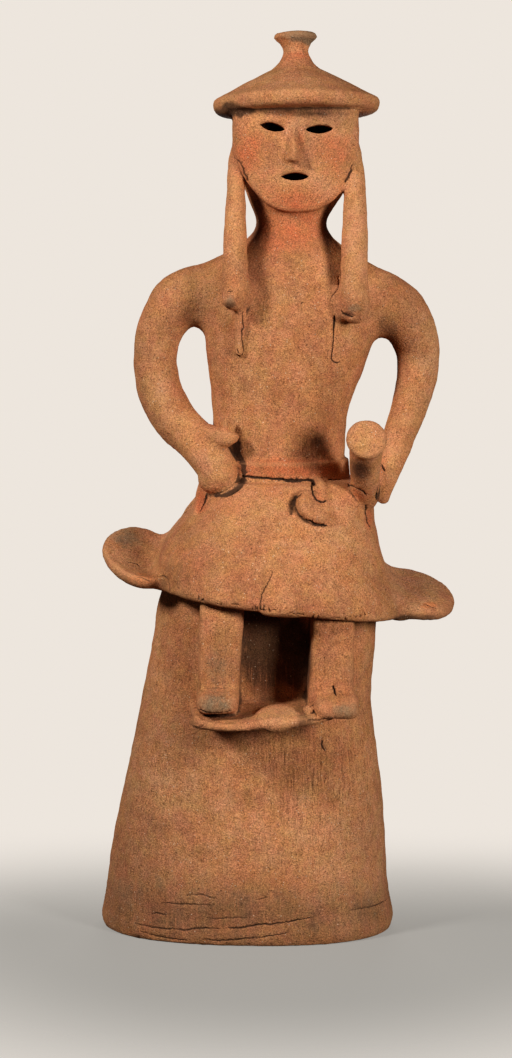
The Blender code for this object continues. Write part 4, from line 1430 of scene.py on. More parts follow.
    patches: Sequence[Patch] = (
        *tinted(Tint.RED, (0.015, 0.07, 0.579, 0.08, 0.03, 0.012, 0.72, 0.8),
                (0.02, 0.07, 0.5925, 0.085, 0.03, 0.004, 0.34, 0.9),
                (-0.099, 0.07, 0.544, 0.01, 0.05, 0.018, 0.75, 0.7),
                (-0.065, 0.11, 0.533, 0.03, 0.05, 0.016, 0.34, 0.9),
                (0.106, 0.07, 0.548, 0.016, 0.05, 0.014, 0.5, 0.9),
                (0.111, 0.06, 0.518, 0.006, 0.05, 0.014, 0.7, 0.7),
                (-0.1, 0.13, 0.475, 0.04, 0.08, 0.03, 0.34, 0.9),
                (0.048, 0.105, 0.55, 0.01, 0.03, 0.012, 0.55, 0.8)),
        # Painted shadows of the hilt on the belt and of the knot's lobe, painted shade under the lower
        # edges of both flaps, and darker patches on the left flap.
        *tinted(Tint.SOOT, (0.076, 0.08, 0.577, 0.014, 0.03, 0.01, 0.85, 0.7),
                (0.018, 0.125, 0.54, 0.0045, 0.03, 0.01, 0.4, 0.8),
                (-0.2, 0.005, 0.479, 0.006, 0.06, 0.011, 0.4, 0.9),
                (-0.145, 0.1, 0.427, 0.028, 0.05, 0.004, 0.75, 0.7),
                (-0.142, 0.1, 0.443, 0.008, 0.03, 0.008, 0.45, 0.8),
                (0.17, 0.09, 0.3975, 0.045, 0.05, 0.005, 0.8, 0.6),
                (0.145, 0.1, 0.406, 0.016, 0.05, 0.008, 0.5, 0.9)),
        *tinted(Tint.GREY, (0.05, 0.1, 0.552, 0.006, 0.02, 0.006, 0.6, 0.8),
                (-0.195, -0.01, 0.49, 0.034, 0.06, 0.018, 0.72, 0.8),
                (0.175, 0.08, 0.43, 0.045, 0.06, 0.024, 0.36, 0.9)),
        *tinted(Tint.PALE, (-0.19, 0.06, 0.46, 0.04, 0.05, 0.02, 0.6, 0.8),
                (0.18, 0.06, 0.425, 0.04, 0.08, 0.02, 0.6, 0.8),
                (0.09, 0.14, 0.48, 0.05, 0.08, 0.045, 0.55, 0.8),
                (0.0, 0.18, 0.435, 0.018, 0.04, 0.02, 0.75, 0.8)),
        *tinted(Tint.BLOOM, (-0.185, 0.02, 0.47, 0.04, 0.08, 0.03, 0.9, 0.8),
                (0.18, 0.06, 0.425, 0.05, 0.08, 0.03, 0.9, 0.8)),
        *tinted(Tint.FRESH, (-0.17, 0.08, 0.445, 0.03, 0.05, 0.008, 0.75, 0.8),
                (0.188, 0.09, 0.412, 0.014, 0.04, 0.004, 0.9, 0.7)),
        *tinted(Tint.BRUSHED, (0.0, 0.1, 0.48, 0.13, 0.12, 0.06, 0.12, 0.5)),
    )

    def press(self, clay: Clay) -> None:
        """Press the coat on, from the skirt outwards."""
        outside = OvalWall(self.skirt, power=2.5, rounding=0.007, fall=self.fall)
        inside = OvalWall(self.skirt, power=2.5, fall=self.fall, capped=False)
        clay.press(HungSlab(outside, inside, self.thick), 0.003)
        clay.press(OvalWall(self.pleat, rounding=0.006), 0.007)
        clay.press(self.flap_left, 0.016)
        clay.press(self.flap_right, 0.018)
        clay.press(OvalWall(self.belt, rounding=0.003), 0.002)
        x, proud, z = self.lobe.middle
        clay.press(replace(self.lobe, middle=(x, clay.front(x, z) + proud, z)), 0.001)
        for coil in (self.strap, self.sash):
            route = [(x, clay.front(x, z) - sink, z, radius) for x, z, radius, sink in coil]
            clay.press(Coil(route), 0.0015)
        for nick in self.nicks:
            clay.cut(nick, 0.0015)

    def lines(self) -> Sequence[Line]:
        """Give the gap below the belt, and the cracks of the knot, the hem and the flaps."""
        return (*self.nipped(), *self.cracks)

    def nipped(self) -> tuple[Line, ...]:
        """Give the small nips and creases along the front of the hem."""
        chance = np.random.default_rng(self.seed)
        across, height = np.array(self.hem).T
        found = []
        for number in range(self.nips):
            x = chance.uniform(across[0], across[-1])
            z = float(np.interp(x, across, height))
            long, wide = chance.uniform(0.003, 0.01), chance.uniform(0.0005, 0.0012)
            if number % 3:
                lean = chance.normal(0, 0.0015)
                route = ((x, z + 0.001, wide * 1.6), (x + lean, z + long * 0.5, wide),
                         (x + lean * 2, z + long, 0.0003))
            else:
                z += chance.uniform(0.001, 0.006)
                slope = float(np.interp(x + long, across, height) - np.interp(x, across, height))
                route = ((x, z, 0.0003), (x + long * 0.5, z + slope * 0.5 + 0.0005, wide),
                         (x + long, z + slope, 0.0003))
            found.append(Line(route, chance.uniform(0.001, 0.0024), 0.0, 0.0003,
                              chance.uniform(0.3, 0.7)))
        return tuple(found)


@dataclass
class Legs(SubAssembly):
    """The two slab-sided legs and their feet, on a ledge that stands out from the base.

    Args:
        left: Rows of height, left, right, ahead and behind.
        right: The same, for the other leg.
        foot_left: The same, for the left foot.
        foot_right: The same, for the other foot.
        ledge: The shelf that the feet stand on.
        lump: The lump between the feet.
        lip: Rows of left-right, ahead, height and radius, for the bead along the ledge's edge.
        crumbs: The smaller lumps on the ledge.
    """

    left: Rows = (
        (0.5, -0.092, -0.04, 0.108, -0.07), (0.45, -0.0945, -0.0425, 0.14, -0.078),
        (0.41, -0.0975, -0.0435, 0.159, -0.08), (0.37, -0.0985, -0.0465, 0.164, -0.08),
        (0.33, -0.099, -0.049, 0.168, -0.08), (0.292, -0.0995, -0.051, 0.17, -0.08),
    )
    right: Rows = (
        (0.497, 0.04, 0.09, 0.108, -0.068), (0.448, 0.0395, 0.091, 0.142, -0.076),
        (0.405, 0.0385, 0.0905, 0.161, -0.078), (0.37, 0.0365, 0.0895, 0.166, -0.078),
        (0.332, 0.0345, 0.089, 0.169, -0.078), (0.292, 0.0335, 0.0885, 0.171, -0.078),
    )
    foot_left: Rows = (
        (0.323, -0.0985, -0.052, 0.176, -0.14), (0.314, -0.1005, -0.05, 0.19, -0.14),
        (0.304, -0.101, -0.0505, 0.194, -0.14), (0.2965, -0.099, -0.0525, 0.192, -0.14),
    )
    foot_right: Rows = (
        (0.319, 0.047, 0.09, 0.176, -0.14), (0.31, 0.042, 0.094, 0.19, -0.14),
        (0.3, 0.04, 0.095, 0.195, -0.14), (0.291, 0.042, 0.093, 0.193, -0.14),
    )
    ledge: Plate = Plate((-0.01, 0.1, 0.294), (0.0985, 0.0, 0.0075), (0.0, 0.103, -0.008), 0.0115, 0.0, 2.5)
    lump: Plate = Plate((-0.004, 0.172, 0.289), (0.0265, 0.0, 0.0012), (0.0, 0.033, -0.005), 0.018)
    lip: Rows = (
        (-0.104, 0.17, 0.2845, 0.0052), (-0.098, 0.181, 0.2842, 0.0066), (-0.084, 0.191, 0.2832, 0.0056),
        (-0.064, 0.198, 0.2824, 0.0046), (-0.038, 0.201, 0.2824, 0.0038),
    )
    crumbs: Sequence[Lump] = (
        Lump((-0.1, 0.178, 0.2905), (0.005, 0.008, 0.004)), Lump((0.026, 0.192, 0.29), (0.01, 0.01, 0.004)),
        Lump((0.034, 0.18, 0.301), (0.007, 0.01, 0.005)),
    )
    cracks: Sequence[Line] = (
        Line(((0.0641, 0.3269, 0.001), (0.0656, 0.3222, 0.0012), (0.0674, 0.3168, 0.0007)), 0.003),
        Line(((-0.0959, 0.3017, 0.0008), (-0.0863, 0.2987, 0.0013), (-0.0768, 0.2981, 0.0012),
              (-0.0672, 0.2993, 0.0009), (-0.0588, 0.3017, 0.0005)), 0.002, dark=0.7),
        Line(((-0.0756, 0.2951, 0.0004), (-0.0684, 0.2927, 0.0008), (-0.0624, 0.2909, 0.0006)), 0.0014,
              dark=0.6),
        Line(((0.0343, 0.2921, 0.0006), (0.0451, 0.2897, 0.001), (0.0546, 0.2903, 0.0009),
              (0.069, 0.2891, 0.0007), (0.0821, 0.2909, 0.0005)), 0.0018, dark=0.6),
        Line(((0.0285, 0.3102, 0.0004), (0.035, 0.3066, 0.0007), (0.038, 0.3024, 0.0006),
              (0.044, 0.2958, 0.0004)), 0.0014, dark=0.45),
        Line(((-0.1074, 0.2785, 0.0006), (-0.1008, 0.2803, 0.001), (-0.0948, 0.2815, 0.001),
              (-0.0912, 0.2862, 0.0006)), 0.0014, dark=0.55),
        Line(((0.0905, 0.383, 0.0004), (0.09, 0.36, 0.001), (0.0903, 0.34, 0.0009),
              (0.0912, 0.318, 0.0004)), 0.0014, dark=0.6),
    )
    patches: Sequence[Patch] = (
        # Painted shade in the recess between the legs, under the feet and beside the lump between them; the
        # ledge's left end and the left leg's front are darkened too.
        *tinted(Tint.SOOT, (0.026, 0.195, 0.288, 0.014, 0.02, 0.006, 0.55, 0.9),
                (-0.103, 0.18, 0.285, 0.008, 0.02, 0.008, 0.5, 0.9),
                (0.023, 0.13, 0.355, 0.018, 0.06, 0.05, 1.1, 0.35),
                (-0.018, 0.11, 0.365, 0.038, 0.06, 0.065, 0.95, 0.4),
                (-0.072, 0.165, 0.35, 0.024, 0.04, 0.05, 0.36, 0.9),
                (-0.042, 0.17, 0.294, 0.01, 0.04, 0.006, 0.45, 0.9),
                (0.03, 0.17, 0.294, 0.01, 0.04, 0.007, 0.6, 0.9)),
        *tinted(Tint.BRUSHED, (-0.075, 0.165, 0.37, 0.03, 0.03, 0.06, 0.55, 0.6),
                (0.065, 0.165, 0.36, 0.03, 0.03, 0.05, 0.45, 0.6)),
        *tinted(Tint.GREY, (-0.0765, 0.195, 0.308, 0.026, 0.03, 0.013, 0.8, 0.7),
                (0.08, 0.195, 0.302, 0.02, 0.03, 0.011, 0.85, 0.7),
                (-0.076, 0.175, 0.356, 0.02, 0.03, 0.038, 0.55, 0.9),
                (0.06, 0.175, 0.365, 0.02, 0.03, 0.035, 0.2, 0.8)),
        # Pale clay, with a painted highlight on the top of the lump between the feet.
        *tinted(Tint.PALE, (0.006, 0.195, 0.296, 0.026, 0.03, 0.011, 1.1, 0.5),
                (-0.004, 0.19, 0.296, 0.022, 0.04, 0.008, 0.9, 0.7)),
        *tinted(Tint.RED, (0.045, 0.18, 0.31, 0.012, 0.03, 0.03, 0.3, 0.8)),
    )

    def press(self, clay: Clay) -> None:
        """Press the ledge, the legs and the feet on."""
        clay.press(self.ledge, 0.008)
        for leg in (self.left, self.right):
            clay.press(OvalWall(leg, power=9.0, rounding=0.006), 0.003)
        for foot in (self.foot_left, self.foot_right):
            clay.press(OvalWall(foot, power=4.5, rounding=0.006), 0.003)
        clay.press(self.lump, 0.004)
        clay.press(Coil(self.lip), 0.003)
        for crumb in self.crumbs:
            clay.press(crumb, 0.002)


class Wire:
    """One output of a node, with arithmetic that adds the nodes it needs."""

    def __init__(self, board: "Board", socket: bpy.types.NodeSocket) -> None:
        """Keep the socket and the board that it is on."""
        self.board = board
        self.socket = socket

    def _with(self, operation: str, first: Any, second: Any) -> "Wire":
        """Add the node for one operation, on vectors where either side is one."""
        sides = [v for v in (first, second) if isinstance(v, Wire)]
        plain = all(v.socket.type == "VALUE" for v in sides)
        kind = "ShaderNodeMath" if plain else "ShaderNodeVectorMath"
        return self.board.node(kind, {"operation": operation}, {0: first, 1: second})

    def __add__(self, other: Any) -> "Wire":
        """Add."""
        return self._with("ADD", self, other)

    def __radd__(self, other: Any) -> "Wire":
        """Add to a number."""
        return self._with("ADD", other, self)

    def __sub__(self, other: Any) -> "Wire":
        """Take away."""
        return self._with("SUBTRACT", self, other)

    def __rsub__(self, other: Any) -> "Wire":
        """Take away from a number."""
        return self._with("SUBTRACT", other, self)

    def __mul__(self, other: Any) -> "Wire":
        """Multiply."""
        return self._with("MULTIPLY", self, other)

    def __rmul__(self, other: Any) -> "Wire":
        """Multiply a number."""
        return self._with("MULTIPLY", other, self)

    def __rtruediv__(self, other: Any) -> "Wire":
        """Divide a number."""
        return self._with("DIVIDE", other, self)


class Board:
    """A node tree that is being laid out."""

    def __init__(self, tree: bpy.types.NodeTree) -> None:
        """Start on a tree that has no nodes yet."""
        self.tree = tree
        tree.nodes.clear()

    def node(
        self,
        kind: str,
        settings: dict[str, Any] | None = None,
        sockets: dict[int | str, Any] | None = None,
        out: int | str = 0,
    ) -> Wire:
        """Add one node.

        Args:
            kind: The node's type.
            settings: Its own settings, which are set first. "stops" fills a ramp.
            sockets: A value or a wire for each input, by place or by name.
            out: The output to give back, by place or by name.

        Returns:
            A wire from that output, or from the node's first input if it has no output.
        """
        node = self.tree.nodes.new(kind)
        for name, value in (settings or {}).items():
            if name == "stops":
                ramp = node.color_ramp.elements
                while len(ramp) < len(value):
                    ramp.new(0.5)
                for element, (place, colour) in zip(ramp, value):
                    element.position, element.color = place, (*colour, 1.0)
            else:
                setattr(node, name, value)
        for name, value in (sockets or {}).items():
            socket = node.inputs[name]
            if isinstance(value, Wire):
                self.tree.links.new(value.socket, socket)
            elif isinstance(value, (int, float)) and socket.type in ("VECTOR", "RGBA"):
                socket.default_value = (value,) * len(socket.default_value)
            elif socket.type == "RGBA" and len(value) == 3:
                socket.default_value = (*value, 1.0)
            else:
                socket.default_value = value
        return Wire(self, node.outputs[out] if node.outputs else node.inputs[0])

    def read(self, name: str) -> Wire:
        """Give a number that each point of the skin carries."""
        return self.node("ShaderNodeAttribute", {"attribute_name": name}, out="Fac")

    def noise(
        self, place: Wire, scale: float, detail: float = 2.0, rough: float = 0.5, seed: float = 0.0
    ) -> Wire:
        """Give noise of a scale, as a number near one half."""
        return self.node(
            "ShaderNodeTexNoise",
            {"noise_dimensions": "4D"},
            {"Vector": place, "W": seed, "Scale": scale, "Detail": detail, "Roughness": rough},
        )

    def rise(self, value: Wire, low: float, high: float, to: float = 1.0) -> Wire:
        """Give a smooth rise from 0 to a top, as a value goes from low to high."""
        return self.node(
            "ShaderNodeMapRange",
            {"interpolation_type": "SMOOTHSTEP"},
            {"Value": value, "From Min": low, "From Max": high, "To Max": to},
        )

    def mix(self, share: Any, first: Any, second: Any, how: str = "MIX") -> Wire:
        """Blend two colours."""
        settings = {"data_type": "RGBA", "blend_type": how}
        return self.node("ShaderNodeMix", settings, {0: share, 6: first, 7: second}, 2)


@dataclass(frozen=True)
class Relief:
    """How uneven the hand-worked surface is, as a Geometry Nodes tree that moves the skin.

    Args:
        swell: How far the broad swelling goes in and out.
        swell_size: How broad it is.
        dent: How deep the marks of the fingers are.
        dent_size: How broad they are.
        rough: How deep the finer unevenness is.
        rough_size: How broad it is.
        comb: How deep the marks of the comb are below the feet.
        comb_size: How broad one of them is.
        combed: Up to which height there are such marks.
        coil: How far the coils that the wall was built from stand out.
        coil_pitch: The height of one coil.
        pit: How deep the lost flakes are.
        pit_size: How broad they are.
        seed: Which pattern of noise is used.
    """

    swell: float = 0.0013
    swell_size: float = 0.075
    dent: float = 0.0009
    dent_size: float = 0.019
    rough: float = 0.0005
    rough_size: float = 0.0065
    comb: float = 0.0005
    comb_size: float = 0.0055
    combed: float = 0.275
    coil: float = 0.0002
    coil_pitch: float = 0.034
    pit: float = 0.001
    pit_size: float = 0.008
    seed: float = 4.0

    def tree(self) -> tuple[bpy.types.NodeTree, dict[str, str]]:
        """Build the tree.

        Returns:
            The tree, and the identifier of each of its named inputs.
        """
        tree = bpy.data.node_groups.new("hand_worked_clay", "GeometryNodeTree")
        board = Board(tree)
        tree.interface.new_socket("Skin", in_out="INPUT", socket_type="NodeSocketGeometry")
        names = {}
        for name in self.values():
            item = tree.interface.new_socket(name, in_out="INPUT", socket_type="NodeSocketFloat")
            names[name] = item.identifier
        item = tree.interface.new_socket("Finish", in_out="INPUT", socket_type="NodeSocketMaterial")
        names["Finish"] = item.identifier
        tree.interface.new_socket("Skin", in_out="OUTPUT", socket_type="NodeSocketGeometry")
        source = tree.nodes.new("NodeGroupInput")
        given = {socket.name: Wire(board, socket) for socket in source.outputs if socket.name}
        place = board.node("GeometryNodeInputPosition")
        normal = board.node("GeometryNodeInputNormal")
        height = board.node("ShaderNodeSeparateXYZ", None, {0: place}, 2)
        seed = given["Seed"]
        swell = board.noise(place, 1 / given["Swell Size"], 1.5, 0.4, seed) - 0.5
        dent = board.noise(place, 1 / given["Dent Size"], 2.5, 0.5, seed) - 0.5
        rough = board.noise(place, 1 / given["Rough Size"], 1.5, 0.5, seed + 5.0) - 0.5
        drawn = place * (1.0, 1.0, 0.05)
        comb = board.noise(drawn, 1 / given["Comb Size"], 1.0, 0.5, seed + 9.0) - 0.5
        low = board.rise(given["Combed"] - height, 0.0, 0.03)
        flake = board.noise(place, 1 / given["Pit Size"], 2.0, 0.5, seed + 7.0)
        wander = board.noise(place, 9.0, 1.0, 0.5, seed + 3.0)
        turns = height * (2 * math.pi) * (1 / given["Coil Pitch"]) + wander * 9.0
        wave = board.node("ShaderNodeMath", {"operation": "SINE"}, {0: turns})
        above = (
            swell * given["Swell"] * 2.0
            + dent * given["Dent"] * 2.0
            + rough * given["Rough"] * 2.0
            + comb * low * given["Comb"] * 2.0
            + wave * given["Coil"]
            - board.rise(flake, 0.64, 0.74) * given["Pit"]
        )
        above = above * board.rise(height, 0.001, 0.007)
        moved = board.node(
            "GeometryNodeSetPosition", None, {"Geometry": given["Skin"], "Offset": normal * above}
        )
        real = board.node("GeometryNodeRealizeInstances", None, {0: moved})
        dressed = board.node(
            "GeometryNodeSetMaterial", None, {"Geometry": real, "Material": given["Finish"]}
        )
        board.node("NodeGroupOutput", None, {0: dressed})
        return tree, names

    def values(self) -> dict[str, float]:
        """Give the value of each of the tree's named inputs."""
        return {item.name.replace("_", " ").title(): getattr(self, item.name)
                for item in fields(self)}

    def work(self, mesh: bpy.types.Mesh, finish: bpy.types.Material) -> bpy.types.Mesh:
        """Work the surface of a mesh, and give it its finish.

        Args:
            mesh: The smooth skin.
            finish: The material that it gets.

        Returns:
            The worked mesh.
        """
        obj = put("worked_skin", mesh)
        modifier = obj.modifiers.new("relief", "NODES")
        tree, names = self.tree()
        modifier.node_group = tree
        for name, value in self.values().items():
            modifier[names[name]] = value
        modifier[names["Finish"]] = finish
        return plain_mesh(obj)


def plain_mesh(obj: bpy.types.Object) -> bpy.types.Mesh:
    """Turn an object and its modifiers into one plain mesh, and remove the object."""
    bpy.context.view_layer.update()
    evaluated = obj.evaluated_get(bpy.context.evaluated_depsgraph_get())
    mesh = bpy.data.meshes.new_from_object(evaluated)
    bpy.data.objects.remove(obj, do_unlink=True)
    return mesh


@dataclass(frozen=True)
class Stain:
    """How the clay is coloured where its skin carries a tint.

    Args:
        tint: The tint.
        colour: The colour of the stain.
        ragged: How ragged its edge is.
        low: The amount of the tint at which it begins to show.
        high: The amount at which it is at its strongest.
        top: How far it hides the clay there.
    """

    tint: Tint
    colour: Colour
    ragged: float
    low: float
    high: float
    top: float

    def over(self, board: Board, clay: Wire, carried: Wire, edge: Wire) -> Wire:
        """Lay the stain over the clay's colour."""
        share = board.rise(carried + edge * self.ragged, self.low, self.high, self.top)
        return board.mix(share, clay, self.colour)


@dataclass(frozen=True)
class Terracotta:
    """Low-fired clay: matt, sandy and mottled, with traces of red paint and a grey crust, and with painted
    shade and a few painted highlights.

    Args:
        clay: The colour of most of the clay.
        light_clay: Its lighter colour, which also shows on worn edges.
        dark_clay: Its darker colour, which also lies in the marks of the brush.
        dirt: The colour of the dirt in cracks and freckles, and of the shade painted into hollows and gaps.
        grit: The colour of the grains of grit.
        bloom: What the grey bloom multiplies the clay's colour by.
        casts: For each of two noises, the two colours that it multiplies the clay by.
        stains: What the tints look like, in the order in which they lie on the clay.
        noises: The scale, detail, roughness and seed of each noise.
        gloss: How strongly it shines.
    """

    clay: Colour = (0.502, 0.225, 0.099)
    light_clay: Colour = (0.598, 0.286, 0.134)
    dark_clay: Colour = (0.39, 0.16, 0.071)
    dirt: Colour = (0.06, 0.029, 0.016)
    grit: Colour = (0.78, 0.62, 0.45)
    bloom: Colour = (0.93, 0.985, 1.06)
    casts: Sequence[tuple[str, Colour, Colour]] = (
        ("hue", (0.995, 1.015, 0.91), (1.0, 0.98, 1.06)),
        ("warmth", (1.03, 0.94, 0.95), (0.975, 1.035, 1.02)),
    )
    stains: Sequence[Stain] = (
        Stain(Tint.RED, (0.52, 0.131, 0.053), 0.9, 0.15, 1.0, 0.85),
        Stain(Tint.FRESH, (0.6, 0.211, 0.081), 1.0, 0.45, 0.75, 0.7),
        Stain(Tint.GREY, (0.205, 0.15, 0.09), 1.0, 0.3, 1.05, 0.85),
        # painted shade laid in recesses, under edges and where parts would cast shadows, and on a few other
        # dark patches
        Stain(Tint.SOOT, (0.06, 0.029, 0.016), 0.8, 0.15, 1.0, 0.88),
    )
    noises: Sequence[tuple[str, Row]] = (
        ("broad", (8.0, 3.0, 0.55, 1.0)),
        ("patchy", (30.0, 3.0, 0.6, 2.0)),
        ("blotch", (105.0, 3.0, 0.6, 3.0)),
        ("sand", (330.0, 2.0, 0.6, 4.0)),
        ("fine", (660.0, 1.0, 0.6, 9.0)),
        ("freckle", (420.0, 1.0, 0.5, 5.0)),
        ("hue", (38.0, 5.0, 0.75, 11.0)),
        ("warmth", (34.0, 5.0, 0.75, 12.0)),
    )
    gloss: float = 0.22

    def material(self) -> bpy.types.Material:
        """Build the clay's material."""
        material, board = start_material("terracotta")
        place = board.node("ShaderNodeTexCoord", out="Object")
        noise = {name: board.noise(place, *values) for name, values in self.noises}
        carried = {tint: board.read(tint.value) for tint in Tint}
        freckle = board.rise(noise["freckle"], 0.67, 0.76, 0.75)
        streak, line = self.strokes(board, place)
        drawn = (streak - 0.5) * carried[Tint.BRUSHED]
        grain = self.grains(board, place)
        colour = self.stained(board, noise, carried)
        colour = board.mix(line * carried[Tint.BRUSHED] * 0.85, colour, self.dark_clay)
        colour = board.mix(freckle, colour, self.dirt)
        colour = board.mix(grain * 0.55, colour, self.grit)
        colour = self.shaded(board, noise, colour, drawn)
        colour = self.soiled(board, noise, colour, carried[Tint.CRACK])
        height = (
            (noise["blotch"] - 0.5) * 0.0013
            + (noise["sand"] - 0.5) * 0.001
            + (noise["fine"] - 0.5) * 0.0007
            + drawn * 0.0013
            - freckle * 0.0005
            + grain * 0.0002
        )
        sockets = {
            "Base Color": colour,
            "Roughness": 0.86 + noise["sand"] * 0.1,
            "Normal": board.node("ShaderNodeBump", None, {"Height": height, "Distance": 1.0}),
            "Specular IOR Level": self.gloss,
        }
        shader = board.node("ShaderNodeBsdfPrincipled", None, sockets)
        board.node("ShaderNodeOutputMaterial", None, {"Surface": shader})
        return material

    def stained(self, board: Board, noise: dict[str, Wire], carried: dict[Tint, Wire]) -> Wire:
        """Give the mottled clay's colour, with the bloom and the stains on it."""
        tone = noise["broad"] * 0.4 + noise["patchy"] * 0.3 + noise["blotch"] * 0.2
        tone = tone + noise["sand"] * 0.1 + carried[Tint.PALE] * 0.14
        colour = board.mix(board.rise(tone, 0.38, 0.54), self.dark_clay, self.clay)
        colour = board.mix(board.rise(tone, 0.49, 0.66), colour, self.light_clay)
        for name, first, second in self.casts:
            cast = board.mix(board.rise(noise[name], 0.36, 0.64), first, second)
            colour = board.mix(1.0, colour, cast, "MULTIPLY")
        edge = (noise["patchy"] - 0.5) * 0.9 + (noise["blotch"] - 0.5) * 0.8
        edge = edge + (noise["sand"] - 0.5) * 0.5
        bloom = board.rise(carried[Tint.BLOOM] + edge * 0.5, 0.0, 1.1)
        colour = board.mix(bloom, colour, board.mix(1.0, colour, self.bloom, "MULTIPLY"))
        for stain in self.stains:
            colour = stain.over(board, colour, carried[stain.tint], edge)
        return colour

    def shaded(self, board: Board, noise: dict[str, Wire], colour: Wire, drawn: Wire) -> Wire:
        """Make a colour lighter and darker from grain to grain, and along the strokes."""
        shade = (noise["sand"] - 0.5) * 0.5 + (noise["fine"] - 0.5) * 2.1
        shade = shade + (noise["blotch"] - 0.5) * 0.3 + 1.0 + drawn * 0.8
        return board.mix(1.0, colour, shade, "MULTIPLY")

    def soiled(self, board: Board, noise: dict[str, Wire], colour: Wire, crack: Wire) -> Wire:
        """Give a colour with dirt in the cracks, painted shade along the gaps and in the hollows, and
        lighter worn edges.
        """
        solid = board.read("solid_share")
        # dirt in the cracks, and painted shade along the lines that stand for gaps
        crack = board.rise(crack + (noise["sand"] - 0.5) * 0.5, 0.1, 0.7, 0.92)
        colour = board.mix(crack, colour, self.dirt)
        worn = board.rise(0.0 - solid, -0.46, -0.36, 0.22)
        colour = board.mix(worn, colour, self.light_clay)
        # painted shade in the hollows, where much of the clay round a point is solid
        dirt = board.rise(solid + (noise["blotch"] - 0.5) * 0.1, 0.6, 0.72, 0.85)
        return board.mix(dirt, colour, self.dirt)

    def strokes(self, board: Board, place: Wire) -> tuple[Wire, Wire]:
        """Give the upright strokes of the brush, as a height, and as thin dark lines."""
        drawn = place * (1.0, 1.0, 0.075)
        wide = board.noise(drawn, 330.0, 2.0, 0.6, 6.0)
        broken = board.rise(board.noise(place, 42.0, 2.0, 0.5, 7.0), 0.38, 0.6)
        return wide, board.rise(wide, 0.55, 0.68) * broken

    def grains(self, board: Board, place: Wire) -> Wire:
        """Give the pale grains of grit in the clay."""
        cells = {"voronoi_dimensions": "3D", "feature": "F1"}
        near = board.node("ShaderNodeTexVoronoi", cells, {"Vector": place, "Scale": 230.0})
        chance = board.noise(place, 120.0, 1.0, 0.5, 8.0)
        return (1.0 - board.rise(near, 0.1, 0.21)) * board.rise(chance, 0.51, 0.63)


